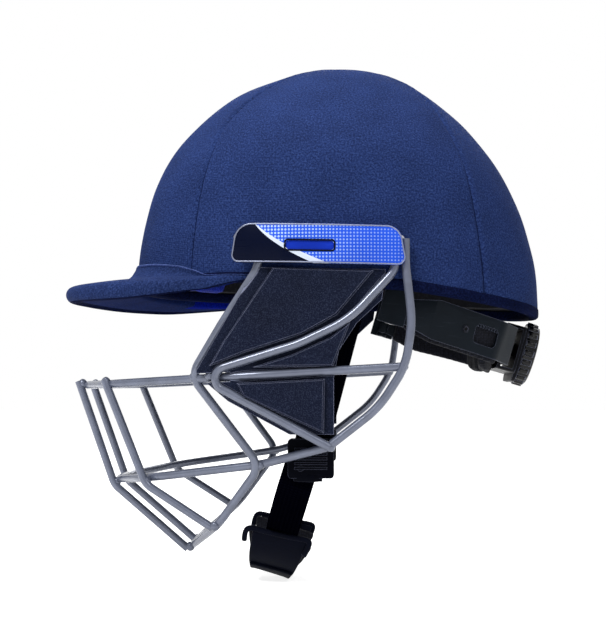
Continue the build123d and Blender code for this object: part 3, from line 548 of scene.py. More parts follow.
# Cloths, foams, plastics and metals, in screen colours
MATT = {"sheen": 0.0, "spec": 0.01}
cloth_material("cover_cloth", (30, 46, 92), (50, 69, 120), (16, 25, 58), "UV")
cloth_material("seam_shade", (14, 22, 54), (24, 34, 76), (8, 13, 34), "UV", **MATT)
cloth_material("peak_cloth", (30, 45, 88), (50, 67, 116), (17, 25, 56))
# Darker copy of the peak cloth for the peak's underside: painted shade
cloth_material("peak_under_shaded", (17, 29, 70), (27, 42, 92), (11, 18, 48), depth=0.08, **MATT)
# Lighter navy for the top edge of the peak's hem: a painted highlight along that edge
cloth_material("hem_highlight_cloth", (66, 82, 134), (88, 104, 156), (46, 58, 104), depth=0.05)
# Dark navy tape: partly the rim binding's own colour, partly painted shade under the cover's hem; on the peak's nose
# it is painted shade along the groove of the lower edge
cloth_material("binding_tape", (11, 17, 46), (21, 30, 66), (6, 9, 26), **MATT)
cloth_material("lining_cloth", (5, 20, 118), (10, 32, 156), (3, 10, 70), depth=0.08, **MATT)
cloth_material("thread_navy", (46, 59, 114), (74, 90, 148), (26, 33, 74), pitch=0.4)
knit_material("pad_blue", (9, 25, 112), (20, 48, 168))
knit_material("pad_black", (13, 14, 20), (30, 32, 42))
webbing_material("webbing", (1, 1, 6), (8, 9, 18))
plastic_material("shell_plastic", (18, 18, 22), 0.5)
plastic_material("liner_foam", (26, 27, 32), 0.85, grain=1.8, depth=0.35, spec=0.1, flecks=0.5)
# painted_edge_highlight sets how strongly a painted highlight is laid along each plastic's edges
plastic_material("band_plastic", (17, 23, 30), 0.5, depth=0.03, worn=(40, 47, 56), painted_edge_highlight=0.3)
plastic_material("dial_plastic", (3, 4, 8), 0.12, depth=0.005, spec=0.2, painted_edge_highlight=0.85, scuffed=0.2)
plastic_material("guard_plastic", (12, 18, 36), 0.6, grain=0.55, depth=0.12, worn=(66, 74, 100), flecks=0.45,
                 painted_edge_highlight=0.7, scuffed=0.06)
plastic_material("bush_rubber", (16, 16, 18), 0.8, depth=0.08, spec=0.1)
plastic_material("insert_plastic", (20, 50, 172), 0.4, depth=0.05, worn=(44, 80, 206))
plastic_material("housing_plastic", (4, 5, 10), 0.42, depth=0.02, worn=(22, 24, 32), painted_edge_highlight=0.25)
plastic_material("buckle_plastic", (4, 5, 12), 0.45, depth=0.02, worn=(20, 22, 32), painted_edge_highlight=0.2, spec=0.02)
plastic_material("cup_plastic", (8, 11, 24), 0.6, grain=0.6, worn=(18, 22, 38), spec=0.04, painted_edge_highlight=0.08)
# Dark ring round the plate's slot: painted shade for the shadow at the slot's recessed edge
plastic_material("slot_shadow_black", (6, 9, 26), 0.4, depth=0.02)
metal_material("wire_steel", (97, 103, 121), 0.22, metal=0.25, spec=0.6)
metal_material("silver_trim", (124, 130, 152), 0.3, metal=0.5)
metal_material("bracket_steel", (150, 150, 155), 0.4)
metal_material("screw_steel", (178, 178, 184), 0.3)
metal_material("rivet_steel", (120, 122, 128), 0.35)

PLATE_TOP_Z = 34.0
DOT_PITCH = 1.95


def plate_material():
    """Temple plate: black at the front, a pale curved stripe, and blue with rows of dots."""
    m = Shader("plate_plastic", 0.3, spec=0.05)
    place = m.where()
    parts = m.add("SeparateXYZ")
    m.put(parts.inputs[0], place)
    x, z = parts.outputs["X"], parts.outputs["Z"]
    down = m.math("SUBTRACT", PLATE_TOP_Z, z)
    square = m.math("MULTIPLY", down, down)

    def behind(start, slope, bend):
        """1 behind a curve that runs down and to the rear, 0 ahead of it."""
        edge = m.math("ADD", m.math("MULTIPLY", down, slope), m.math("MULTIPLY", square, bend))
        distance = m.math("SUBTRACT", x, m.math("ADD", edge, start))
        return m.ramp(m.math("ADD", distance, 0.5), [(0.45, 0.0), (0.55, 1.0)])

    def from_middle(value):
        """Place within the cell of a dot, from -0.5 to 0.5, squared."""
        cell = m.math("SUBTRACT", m.math("FRACT", m.math("DIVIDE", value, DOT_PITCH)), 0.5)
        return m.math("MULTIPLY", cell, cell)

    is_stripe = behind(-46.5, 0.8, 0.0345)
    is_blue = behind(-45.5, 1.18, 0.0335)
    from_dot = m.math("SQRT", m.math("ADD", from_middle(x), from_middle(z)))
    dots = m.math("LESS_THAN", from_dot, m.math("SUBTRACT", 0.29, m.math("MULTIPLY", x, 0.0012)))
    pale = m.math("SUBTRACT", 0.68, m.math("MULTIPLY", x, 0.006))
    blue = m.blend(m.math("MULTIPLY", dots, pale, clamp=True), srgb(42, 90, 224), srgb(190, 214, 255))
    cloudy = m.noise(place, 30.0, 2.0)
    blue = m.blend(m.ramp(cloudy, [(0.35, 0.0), (0.7, 0.25)]), blue, srgb(26, 66, 190))
    tone = m.blend(is_blue, srgb(214, 224, 244), blue)
    m.colour(m.blend(is_stripe, srgb(3, 9, 32), tone))
    scuff = m.noise(m.where(scale=(60, 60, 700), turn=(0, 40, 0)), 1.0, 4.0)
    m.rough(scuff, 0.2, 0.42)
    m.bump((m.noise(place, 1.2, 2.0), 0.01), (dots, 0.02))


plate_material()


def dress(node, look, bevel):
    """A CAD node that stays: its material, and edges softened by a bevel in mm."""
    obj = NODES[node]
    obj.data.materials.clear()
    obj.data.materials.append(MATERIALS[look])
    if bevel:
        modify(obj, "WELD", merge_threshold=0.00001)
        soften(obj, bevel, 2, 35.0, harden_normals=True)


# Cloth cover: four panels that meet at the crown. Each seam is given by its left half, seen from above.
SEAM_FRONT = [(10, 0), (-21, -21), (-50.9, -44.3), (-68, -56.6), (-78.2, -70.2), (-86.2, -78.9), (-90, -81)]
SEAM_REAR = [(10, 0), (36, -18), (57.4, -37.9), (67.4, -53.1), (78.5, -71.3), (83.8, -78), (88, -80)]
CROWN_POINT = dome_above(*SEAM_FRONT[0])
CROWN = dome_direction(CROWN_POINT)
AHEAD = (Vector((-1, 0, 0)) - CROWN * CROWN.dot(Vector((-1, 0, 0)))).normalized()
LEFT = Vector((0, -1, 0))


def polar(direction):
    return math.acos(max(-1.0, min(1.0, direction.dot(CROWN)))), math.atan2(direction.dot(LEFT), direction.dot(AHEAD))


def from_polar(theta, phi):
    return CROWN * math.cos(theta) + (AHEAD * math.cos(phi) + LEFT * math.sin(phi)) * math.sin(theta)


def seam_line(plan):
    """Seam as a table of (angle from the crown, angle round it)."""
    plan_points = spline([(x, y, 0) for x, y in plan], 60)[1:]
    return [polar(dome_direction(dome_above(p.x, p.y))) for p in plan_points]


front_line, rear_line = seam_line(SEAM_FRONT), seam_line(SEAM_REAR)
HEM_LIFT = 2.6


def hem_theta(phi):
    low, high = 0.6, 2.3
    for _ in range(26):
        mid = (low + high) / 2
        p = dome_point(from_polar(mid, phi))
        low, high = (mid, high) if p.z > rim_z(p.x) + HEM_LIFT else (low, mid)
    return low


def seam_end(line):
    theta = 1.5
    for _ in range(12):
        theta = hem_theta(table_value(line, theta))
    return theta


front_end, rear_end = seam_end(front_line), seam_end(rear_line)

# Swellings of the cover in side view: height, x, z and squared spread
PUFFS = [(2.0, -115, 83, 900), (2.0, 36, 146, 800), (-1.8, -41, 143, 650)]
COVER_LENGTH = 190
PANEL_ROWS = 74
BY_SEAM = [0.0, 0.004, 0.010, 0.018, 0.030, 0.048, 0.072]


def puff(p):
    """How far the cover stands off the plain dome there."""
    swell = 4.0 * smooth(40, 95, abs(p.y)) * bump(p.z - 86, 34)
    for height, x, z, spread in PUFFS:
        swell += height * math.exp(-((p.x - x) ** 2 + (p.z - z) ** 2) / spread)
    return swell


def cover_panel(name, seam_a, seam_b):
    """One panel between two seams, each a line, its end, a sign and a turn, as a grid from crown to hem."""
    places = BY_SEAM + [mix(0.1, 0.9, k / 34) for k in range(35)] + [1 - s for s in reversed(BY_SEAM)]

    def phi(seam, share):
        line, end, sign, turn = seam
        return turn + sign * table_value(line, share * end)

    points, coords = [], []
    hems = [hem_theta(mix(phi(seam_a, 1.0), phi(seam_b, 1.0), u)) for u in places]
    for i in range(PANEL_ROWS):
        v = mix(0.022, 1.0, i / (PANEL_ROWS - 1))
        phi_a, phi_b = phi(seam_a, v), phi(seam_b, v)
        row = [dome_point(from_polar(v * hem, mix(phi_a, phi_b, u))) for hem, u in zip(hems, places)]
        steps = [0.0]
        for p, q in zip(row, row[1:]):
            steps.append(steps[-1] + (q - p).length)
        width = steps[-1]
        for k, p in enumerate(row):
            d = min(steps[k], width - steps[k])
            lift = puff(p)
            lift -= 1.35 * bump(d, 1.3)
            lift += 0.35 * bump(d - 3.4, 2.0)
            pull = noise.noise(Vector([c * 0.045 for c in p]) + Vector((7, 3, 1)))
            lift += 0.35 * pull * smooth(2, 14, d)
            phase = 3 if k > len(places) / 2 else 0
            pucker = math.sin(v * COVER_LENGTH + phase) * 0.10 * bump(d - 3.0, 2.6)
            lift += pucker * smooth(0.1, 0.3, v)
            lift -= 0.9 * smooth(0.985, 1.0, v)
            points.append(p + dome_normal(p) * lift)
            coords.append((steps[k] - width / 2, v * COVER_LENGTH))
    obj = piece(name, points, grid_faces(PANEL_ROWS, len(places)), ["cover_cloth", "seam_shade"])
    for poly in obj.data.polygons:
        if min(v % len(places) for v in poly.vertices) in (0, len(places) - 2):
            poly.material_index = 1
    add_uv(obj, coords)
    modify(obj, "SOLIDIFY", thickness=0.9 * MM, offset=-1.0)
    return bake(obj)


front_seam, rear_seam = (front_line, front_end), (rear_line, rear_end)
left_panel = cover_panel("left_cloth_panel", (*front_seam, 1, 0), (*rear_seam, 1, 0))
right_panel = mirror_of(left_panel, "right_cloth_panel")
front_panel = cover_panel("front_cloth_panel", (*front_seam, -1, 0), (*front_seam, 1, 0))
rear_panel = cover_panel("rear_cloth_panel", (*rear_seam, 1, 0), (*rear_seam, -1, TURN))
for obj, side, cut, area in ((left_panel, "left", (0.190, 0.205), 0.0275),
                             (right_panel, "right", (0.190, 0.205), 0.0275),
                             (front_panel, "front", (0.192, 0.213), 0.0273),
                             (rear_panel, "rear", (0.190, 0.205), 0.0256)):
    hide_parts(side + "_cover_panel")

# Crown button: a cloth-covered disc where the seams meet, as rings of (radius, height)
BUTTON_RINGS = [(2.0, 2.45), (4.0, 2.15), (5.4, 1.6), (6.3, 0.8), (6.5, 0.1), (6.1, -0.5), (4.5, -0.6)]
BUTTON_TOP, BUTTON_SPOKES = 3.5, 40
button_up = dome_normal(CROWN_POINT)
button_side = button_up.cross(Vector((0, 1, 0))).normalized()
button_ahead = button_up.cross(button_side)
points = []
for r, h in BUTTON_RINGS:
    for k in range(BUTTON_SPOKES):
        a = TURN * k / BUTTON_SPOKES
        lift = h + 0.10 * math.sin(a * 10) * smooth(2, 6, r)
        around = button_side * math.cos(a) + button_ahead * math.sin(a)
        points.append(CROWN_POINT + button_up * (lift + 1.0) + around * r)
points.append(CROWN_POINT + button_up * BUTTON_TOP)
faces = grid_faces(len(BUTTON_RINGS), BUTTON_SPOKES, wrap_cols=True)
faces += [(len(points) - 1, (k + 1) % BUTTON_SPOKES, k) for k in range(BUTTON_SPOKES)]
button = piece("covered_button", points, faces, ["peak_cloth"])
refine(button)
turn_outward(button)
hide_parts("crown_button")

# Rim binding: a tape folded round the lower edge, as (distance from the dome, height over the rim line). Its dark
# navy is partly the tape's own colour and partly painted shade under the cover's hem.
TAPE = [(0.9, 5.4), (1.15, 4.4), (1.2, 2.2), (1.1, 0.6), (0.3, -0.5), (-1.5, -0.9), (-3.6, -0.9), (-5.0, -0.5),
        (-5.9, 0.5), (-6.0, 2.6), (-5.9, 5.0), (-5.3, 5.6), (-5.1, 2.0), (-3.0, 1.0), (-0.5, 1.4), (0.1, 4.6)]
RIM_STEPS = 240
points = []
for i in range(RIM_STEPS):
    psi = TURN * i / RIM_STEPS
    for k, (grow, lift) in enumerate(TAPE):
        ripple = 0.12 * math.sin(psi * 130) * (1 if k < 4 else 0.4)
        points.append(rim_point(psi, lift, grow + ripple))
binding = piece("rim_tape", points, grid_faces(RIM_STEPS, len(TAPE), True, True), ["binding_tape"])
turn_outward(binding)
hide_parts("rim_binding")

# Peak: a padded, cloth-covered brim with a hem that runs up on the shell
PEAK_X, PEAK_REACH, PEAK_HALF, PEAK_FRONT_Z = -80.0, 99.5, 95.0, -3.1
TILT = math.tan(math.radians(6.0))
PEAK_UPPER, PEAK_LOWER = (10.0, 980), (0.0, 960)
HEM = [(-142.2, 22.4), (-112.5, 18.9), (-94.4, 15.6), (-84.0, 12.0), (-77.0, 8.4), (-70.0, 4.0)]


def peak_face(p, lift, sag):
    """Height of the peak's upper or lower face over a plan point."""
    return PEAK_FRONT_Z + (p.x - PEAK_X + PEAK_REACH) * TILT + lift - p.y ** 2 / sag


def peak_section(beta):
    """Closed section of the peak at one angle: hem, fillet, top, nose, underside, and back along the shell."""
    share = min(1.0, abs(beta) / 90.0)
    fade = smooth(0.0, 1.0, max(0.0, abs(beta) - 90.0) / 10.0)
    side = math.copysign(1.0, beta)
    a = math.radians(90.0 * share)
    outer = Vector((PEAK_X - PEAK_REACH * math.cos(a), side * PEAK_HALF * math.sin(a), 0))
    psi = math.pi - side * math.radians(56.0 * share ** 1.05 + 8.5 * fade)
    foot = wall_at(psi, 8.0)
    shadow = Vector((foot.x, foot.y, 0))
    outer = outer.lerp(shadow + (shadow - Vector((DOME_X, 0, 0))).normalized() * 2.2, fade)
    end = smooth(0.62, 1.0, share)
    top_foot, low_foot = peak_face(foot, *PEAK_UPPER), peak_face(foot, *PEAK_LOWER)
    top_out, low_out = peak_face(outer, *PEAK_UPPER), peak_face(outer, *PEAK_LOWER)
    thin = mix(mix(1.0, 0.62, end), 0.12, fade)
    mid_foot, mid_out = mix(low_foot, top_foot, 0.5) + 1.5 * fade, mix(low_out, top_out, 0.5) + 1.5 * fade
    flat = outer - Vector((foot.x, foot.y, 0))
    run = flat.length
    along = flat.normalized()
    half_foot = (top_foot - low_foot) / 2 * thin
    half_out = (top_out - low_out) / 2 * thin
    hem = mix(max(table_value(HEM, foot.x), mid_foot + half_foot + 0.6), mid_foot + half_foot + 0.4, fade)
    rise = hem - (mid_foot + half_foot)
    f = max(0.3, min(9.0, rise * 0.92, run * 0.45))
    nose = min(half_out, run * 0.5)

    def on_shell(z, out):
        p = wall_at(psi, z)
        return p + dome_normal(p) * out

    def level(r, side):
        t = r / run
        z = mix(mid_foot, mid_out, t) + side * mix(half_foot, half_out, t)
        bow = side * 0.8 * math.sin(math.pi * t) * thin
        return Vector((foot.x, foot.y, 0)) + along * r + Vector((0, 0, z + bow))

    loop = [on_shell(hem - 0.4, 0.5), on_shell(hem, 1.3), on_shell(hem - 0.5, 2.2),
            on_shell(mix(hem, hem - rise, 0.3), 2.4)]
    start = min(2.6, run * 0.3) + f
    base = level(start, 1)
    for k in range(1, 5):
        ang = math.pi / 2 * k / 5
        r = start - f * math.sin(math.pi / 2 - ang)
        z = base.z + f * (1 - math.cos(math.pi / 2 - ang))
        loop.append(Vector((foot.x, foot.y, 0)) + along * r + Vector((0, 0, z)))
    flat_end = run - nose
    for k in range(5):
        loop.append(level(mix(start, flat_end, (k + 0.3) / 5), 1))
    centre = level(flat_end, 1) * 0.5 + level(flat_end, -1) * 0.5
    reach = (level(flat_end, 1).z - level(flat_end, -1).z) / 2
    for k in range(7):
        ang = math.pi / 2 - math.pi * k / 6
        r = math.cos(ang) * nose
        loop.append(centre + along * r + Vector((0, 0, math.sin(ang) * reach * (1.0 if ang > 0 else 1.04))))
    lip = min(5.0, run * 0.3)
    for back, drop in ((0.3, -0.4), (0.5, 2.0), (0.8, 1.2)):
        loop.append(level(flat_end - lip * back, -1) + Vector((0, 0, drop * thin)))
    for k in range(1, 5):
        loop.append(level(mix(flat_end - lip, min(3.5, run * 0.3), k / 4), -1) + Vector((0, 0, 0.7 * thin)))
    low = level(min(2.0, run * 0.2), -1)
    loop.append(Vector((*(on_shell(low.z + 0.9, 0.6).xy), low.z + 0.9)))
    loop.append(on_shell(mix(low.z + 0.9, hem, 0.5), 0.5))
    return loop


# Places of a section by number: hem, whose top edge gets a lighter cloth as a painted highlight; nose, whose lower
# edge gets the dark tape as painted shade along its groove; underside, in a darker copy of the peak cloth as painted
# shade; and the blue lining at the sides
HEM_PLACES, NOSE_PLACES, UNDER_FROM, LINING_FROM = (0, 1), (18, 19, 20, 21), 22, 25
betas = [mix(-100.0, 100.0, k / 112) for k in range(113)]
sections = [peak_section(b) for b in betas]
loop_size = len(sections[0])
points = [p for section in sections for p in section]
peak = piece("cloth_peak", points, tube_faces(len(sections), loop_size),
             ["peak_cloth", "lining_cloth", "peak_under_shaded", "binding_tape", "hem_highlight_cloth"])
for poly in peak.data.polygons:
    places = [v % loop_size for v in poly.vertices]
    if len(poly.vertices) != 4 or max(places) - min(places) > 1:
        continue
    if min(places) in HEM_PLACES:
        # Painted highlight: the hem's top edge in the lighter hem cloth
        poly.material_index = 4
    elif min(places) in NOSE_PLACES:
        # Painted shade: the dark tape along the groove of the nose's lower edge
        poly.material_index = 3
    elif min(places) >= UNDER_FROM:
        # Painted shade: the underside in the darker copy of the peak cloth, apart from the blue lining
        inner = min(places) >= LINING_FROM and abs(betas[min(poly.vertices) // loop_size]) > 54
        poly.material_index = 1 if inner else 2
refine(peak)
for v, n in [(v, v.normal.copy()) for v in peak.data.vertices]:
    p = v.co / MM
    fold = noise.noise(Vector((p.x * 0.03, p.y * 0.03, p.z * 0.05)) + Vector((2, 9, 4)))
    v.co += n * (0.45 * fold * MM)
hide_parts("peak_cover")


def stitches(name, path, outward, pitch, length, radius):
    """A row of sewn stitches: short rounded threads that dip into the cloth at their ends."""
    points, faces = [], []
    total = [0.0]
    for p, q in zip(path, path[1:]):
        total.append(total[-1] + (q - p).length)

    def at(s):
        s = max(0.0, min(total[-1], s))
        k = next(i for i in range(len(total) - 1) if s <= total[i + 1] + 1e-6)
        t = (s - total[k]) / max(1e-6, total[k + 1] - total[k])
        return path[k].lerp(path[k + 1], t), outward[k].lerp(outward[k + 1], t).normalized()

    for n in range(int(total[-1] / pitch)):
        s0 = n * pitch + (pitch - length) / 2
        for k, (share, drop) in enumerate(((0.0, 0.5), (0.25, 0.05), (0.5, -0.05), (0.75, 0.05), (1.0, 0.5))):
            p, out = at(s0 + length * share)
            q, _ = at(s0 + length * share + 0.2)
            run = (q - p)
            run = run.normalized() if run.length > 1e-5 else Vector((1, 0, 0))
            side = run.cross(out).normalized()
            r = radius * (0.6 if k in (0, 4) else 1.0)
            for j in range(6):
                a = TURN * j / 6
                points.append(p + out * (math.sin(a) * r - drop * 0.6 + radius * 0.5) + side * math.cos(a) * r)
            if k:
                base = len(points) - 12
                for j in range(6):
                    j2 = (j + 1) % 6
                    faces.append((base + j, base + j2, base + 6 + j2, base + 6 + j))
    return piece(name, points, faces, ["thread_navy"])


# Hem stitches round the top of the peak's hem
hem_path, hem_out = [], []
for section, beta in zip(sections, betas):
    if abs(beta) < 86:
        hem_path.append(section[3] * 0.55 + section[2] * 0.45)
        hem_out.append(dome_normal(section[3]))
stitches("peak_hem_stitches", hem_path, hem_out, pitch=3.2, length=2.1, radius=0.28)

# Flat webbing: half of its section from selvedge to selvedge, as (across, share of half the thickness)
WEB, WEB_THICKNESS, SELVEDGE = 20.0, 1.7, 0.5
WEB_HALF = WEB / 2
WEB_FACE = [(-WEB_HALF, 0.5), (-WEB_HALF + SELVEDGE, 1.0), (-WEB_HALF + 2.0, 0.92), (0, 1.0),
            (WEB_HALF - 2.0, 0.92), (WEB_HALF - SELVEDGE, 1.0), (WEB_HALF, 0.5)]
WEB_SECTION = [(a, sign * b * WEB_THICKNESS / 2) for sign in (-1, 1) for a, b in WEB_FACE[::-sign]]
WAVY = 0.12


def ribbon(name, path, across, body="helmet", count=90):
    """Webbing along a smooth path, its width along across, with UVs in mm."""
    line = spline(path, count)
    points, coords = [], []
    along = 0.0
    for i, p in enumerate(line):
        t = (line[min(i + 1, count)] - line[max(i - 1, 0)]).normalized()
        wide = (across - t * across.dot(t)).normalized()
        rise = wide.cross(t).normalized()
        if i:
            along += (p - line[i - 1]).length
        for k, (a, b) in enumerate(WEB_SECTION):
            ripple = WAVY * math.sin(along * 0.5 + a * 0.2)
            points.append(p + wide * a + rise * (b + ripple * 0.4))
            coords.append((a + (40 if k > 6 else 0), along))
    obj = piece(name, points, tube_faces(count + 1, len(WEB_SECTION)), ["webbing"], body)
    add_uv(obj, coords)
    return obj


# Harness straps, from the rivets in the liner down to the buckles
STRAP_Y = 86.3
for side, s in SIDES:
    path = [(14.0, s * STRAP_Y, 24.0), (6.8, s * STRAP_Y, -3.0), (-1.2, s * 86.4, -33.0),
            (-9.0, s * STRAP_Y, -62.5), (-16.5, s * STRAP_Y, -91.3)]
    strap = ribbon(side + "_harness_webbing", path, Vector((1, 0, 0)))
    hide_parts(side + "_harness_strap")

# Chin strap: one web from buckle to buckle round the cup, in a frame that hangs from the buckle pins
PIVOT = Vector((-22.5, 0, -104.75))
CHIN = Matrix.Translation(PIVOT) @ Matrix.Rotation(math.radians(17.5), 4, "Y")
CHIN_AXES = CHIN.to_3x3()
CUP_R, STRAP_R = 46.5, 42.2
ARC_Z = CUP_R - 74.8


def chin(x, y, z):
    return CHIN @ Vector((x, y, z))


def chin_path(s):
    """Half of the strap's middle line, from the buckle down to the cup."""
    points = [(0, s * STRAP_Y, 1.0), (0, s * STRAP_Y, -7.0), (0, s * 85.2, -16.0), (0, s * 74.0, -28.0),
              (0, s * 58.0, -38.0)]
    for a in (66, 54, 42, 30, 15):
        r = math.radians(a)
        points.append((0, s * STRAP_R * math.sin(r), ARC_Z - STRAP_R * math.cos(r)))
    return points


whole = chin_path(-1) + [(0, 0, ARC_Z - STRAP_R)] + chin_path(1)[::-1]
strap = ribbon("chin_webbing", [chin(*p) for p in whole], CHIN_AXES @ Vector((1, 0, 0)), "chin_sling", 180)
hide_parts("chin_strap")


# Chin cup: a moulded trough with rolled lips at its ends and a rolled band below
CUP_END = 66.0


def cup_surface(a, w, out=0.0):
    """Middle of the cup's wall at angle a degrees round the chin and place w of -1 to 1 across."""
    share = abs(a) / CUP_END
    half = mix(13.2, 17.6, share)
    r = CUP_R - 1.6 + out + 0.8 * abs(w) ** 6
    ang = math.radians(a)
    return Vector((w * half, math.sin(ang) * r, ARC_Z - math.cos(ang) * r + 1.8 * w * share))


def cup_part(name, reach, wide, out, thick, rows=61, cols=25):
    points = []
    for i in range(rows):
        a = mix(-reach, reach, i / (rows - 1))
        points += [chin(*cup_surface(a, mix(-wide, wide, j / (cols - 1)), out)) for j in range(cols)]
    part = piece(name, points, grid_faces(rows, cols), ["cup_plastic"], "chin_sling")
    modify(part, "SOLIDIFY", thickness=thick * MM, offset=0.0)
    soften(part, thick * 0.27, 3, 50)
    bake(part)
    return part


cup = cup_part("moulded_chin_cup", CUP_END, 1.0, 0.0, 3.0)
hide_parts("chin_cup")
cup_part("cup_rolled_band", 27.0, 0.94, 2.0, 2.6)
LIP = [(-21.0, -56.5), (-21.6, -51.5), (-20.6, -48.4), (-17.0, -47.3), (-6.0, -46.6), (6.0, -45.4), (14.0, -44.4),
       (17.6, -44.6), (18.4, -47.4), (17.4, -54.2)]
for side, s in SIDES:
    path = []
    for p in spline([(x, 0, z) for x, z in LIP], 54):
        r = CUP_R + 1.0
        path.append(chin(p.x, s * math.sqrt(max(0.0, r * r - (ARC_Z - p.z) ** 2)), p.z))
    lip = swept(side + "_cup_lip", path, oval(3.4, 2.8, 14, 2.6), CHIN_AXES @ Vector((0, s, 0)), "cup_plastic",
                "chin_sling")


# Soft pads
def soft_pad(name, node, look, body="helmet", channels=(), voxel=3.0, shrink=0.7, cap=3.0):
    """A pad that swells from its CAD form by cloth simulation, then gets its sewn channels."""
    source = NODES[node]
    mesh = source.data.copy()
    mesh.materials.clear()
    obj = linked(name, mesh)
    modify(obj, "REMESH", mode="VOXEL", voxel_size=voxel * MM, adaptivity=0.0)
    bake(obj)
    modify(obj, "SMOOTH", factor=0.5, iterations=8)
    bake(obj)
    for v, n in [(v, v.normal.copy()) for v in obj.data.vertices]:
        v.co -= n * shrink * MM
    before = [v.co.copy() for v in obj.data.vertices]
    cloth = modify(obj, "CLOTH").settings
    cloth.use_pressure = True
    cloth.uniform_pressure_force = 4.0
    cloth.effector_weights.gravity = 0.0
    cloth.quality = 4
    for frame_number in range(1, 21):
        scene.frame_set(frame_number)
    swollen = evaluated_mesh(obj)
    obj.modifiers.clear()
    for v, start, end in zip(obj.data.vertices, before, swollen.vertices):
        move = end.co - start
        if move.length > cap * MM:
            move = move.normalized() * cap * MM
        v.co = start + move
    bpy.data.meshes.remove(swollen)
    scene.frame_set(1)
    refine(obj)
    for v, n in [(v, v.normal.copy()) for v in obj.data.vertices]:
        p = v.co / MM
        depth = sum(size * bump(where(p), wide) for where, wide, size in channels)
        puffy = 0.35 * noise.noise(p * 0.05)
        v.co -= n * (depth - puffy) * MM
    obj.data.materials.append(MATERIALS[look])
    obj.data.shade_smooth()
    obj.data.name = name
    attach(obj, body)
    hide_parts(node)


def fan(centre_x, degrees, side):
    """Distance from an upright plane that fans out from a point of the mirror plane."""
    a = math.radians(degrees)
    normal = Vector((-math.sin(a), math.cos(a), 0)) * (1 if side > 0 else -1)
    return lambda p: (p - Vector((centre_x, 0, 0))).dot(normal) if (p.x - centre_x) * side > 0 else 99.0


brow_channels = [(fan(-32.7, a, -1), 2.4, 2.2) for a in (-26, 0, 26)]
rear_channels = [(fan(32.0, a, 1), 2.4, 2.2) for a in (-14, 14)]
crown_channels = [(lambda p: p.x + 22, 2.4, 2.0), (lambda p: p.x - 10, 2.4, 2.0)]
side_channels = [(lambda p: p.x - 2, 2.4, 2.0)]
nape_channels = [(lambda p: p.y - 13, 2.0, 1.4), (lambda p: p.y + 13, 2.0, 1.4)]
soft_pad("brow_cushion", "brow_pad", "pad_blue", channels=brow_channels)
soft_pad("rear_cushion", "rear_pad", "pad_blue", channels=rear_channels)
soft_pad("crown_cushion", "crown_pad", "pad_black", channels=crown_channels)
for side, _ in SIDES:
    soft_pad(side + "_side_cushion", side + "_side_pad", "pad_blue", channels=side_channels)
    soft_pad(side + "_ear_cushion", side + "_ear_pad", "pad_black", voxel=2.4, cap=2.0)
    soft_pad(side + "_band_cushion", side + "_fit_band_pad", "pad_black", side + "_band", voxel=1.3, shrink=0.1,
             cap=1.0)
soft_pad("nape_cushion", "nape_pad", "pad_black", "cradle", nape_channels, voxel=1.8, shrink=0.3, cap=1.5)
soft_pad("cup_cushion", "chin_cup_pad", "pad_black", "chin_sling", voxel=1.5, shrink=0.3, cap=1.0)

# CAD nodes that stay, in finished materials: each has its slot's name, apart from these two
SLOT_LOOKS = {"comfort_foam": "pad_black", "peak_board": "lining_cloth"}
BEVELS = {"side_guard": 0.7, "buckle": 0.4, "fit_band": 0.3, "ratchet_housing": 0.6, "housing_back_plate": 0.6,
          "dial_knob": 0.3, "temple_plate": 0.4, "temple_anchors": 0.4, "wire_brackets": 0.3, "rack": 0.15}
for entry in frame["record"]["subparts"]:
    node, slot = entry["node"], entry["material_slot"]
    bevel = BEVELS.get(node.removeprefix("left_").removeprefix("right_"), 0.0)
    dress(node, SLOT_LOOKS.get(slot, slot), bevel)

# Three nodes look unlike their slot, and the edges of the housing are rounded a second time
dress("buckle_pins", "buckle_plastic", 0.2)
dress("ratchet_housing", "housing_plastic", 0.6)
dress("housing_back_plate", "housing_plastic", 0.6)

# Metal trim round each temple plate, and a dark ring round its slot as painted shade at the slot's recessed edge, as
# corners (x, z, radius) in the plate's face
PLATE_AT, PLATE_TURN, PLATE_BEND, PLATE_Y = Vector((-11.3, 0, 24.2)), math.radians(1.2), 300.0, 115.2
TRIM = [(-47.1, 10.75, 9.6), (45.6, 10.75, 8.6), (50.05, -10.75, 4.1), (-50.05, -10.75, 3.6)]
SLOT = [(-19.3, 1.9, 1.6), (9.1, 1.9, 1.6), (9.1, -4.1, 1.6), (-19.3, -4.1, 1.6)]


def on_plate(x, z, side):
    y = math.sqrt(PLATE_BEND ** 2 - x * x) - PLATE_BEND + PLATE_Y
    ct, st = math.cos(PLATE_TURN), math.sin(PLATE_TURN)
    return PLATE_AT + Vector((x * ct + z * st, side * y, -x * st + z * ct))


def plate_ring(name, corners, side, width, height, look):
    """A thin raised line round an outline of the plate's face."""
    outline = rounded(corners)
    path = []
    for p, q in zip(outline, outline[1:] + outline[:1]):
        parts = max(1, round((q - p).length / 2.5))
        path += [on_plate(*p.lerp(q, k / parts), side) for k in range(parts)]
    swept(name, path, oval(width, height, 12, 3.0), Vector((0, side, 0)), look, closed=True)


for side, s in SIDES:
    plate_ring(side + "_plate_trim", TRIM, s, 0.75, 0.6, "silver_trim")
    plate_ring(side + "_slot_shadow_ring", SLOT, s, 1.0, 0.7, "slot_shadow_black")

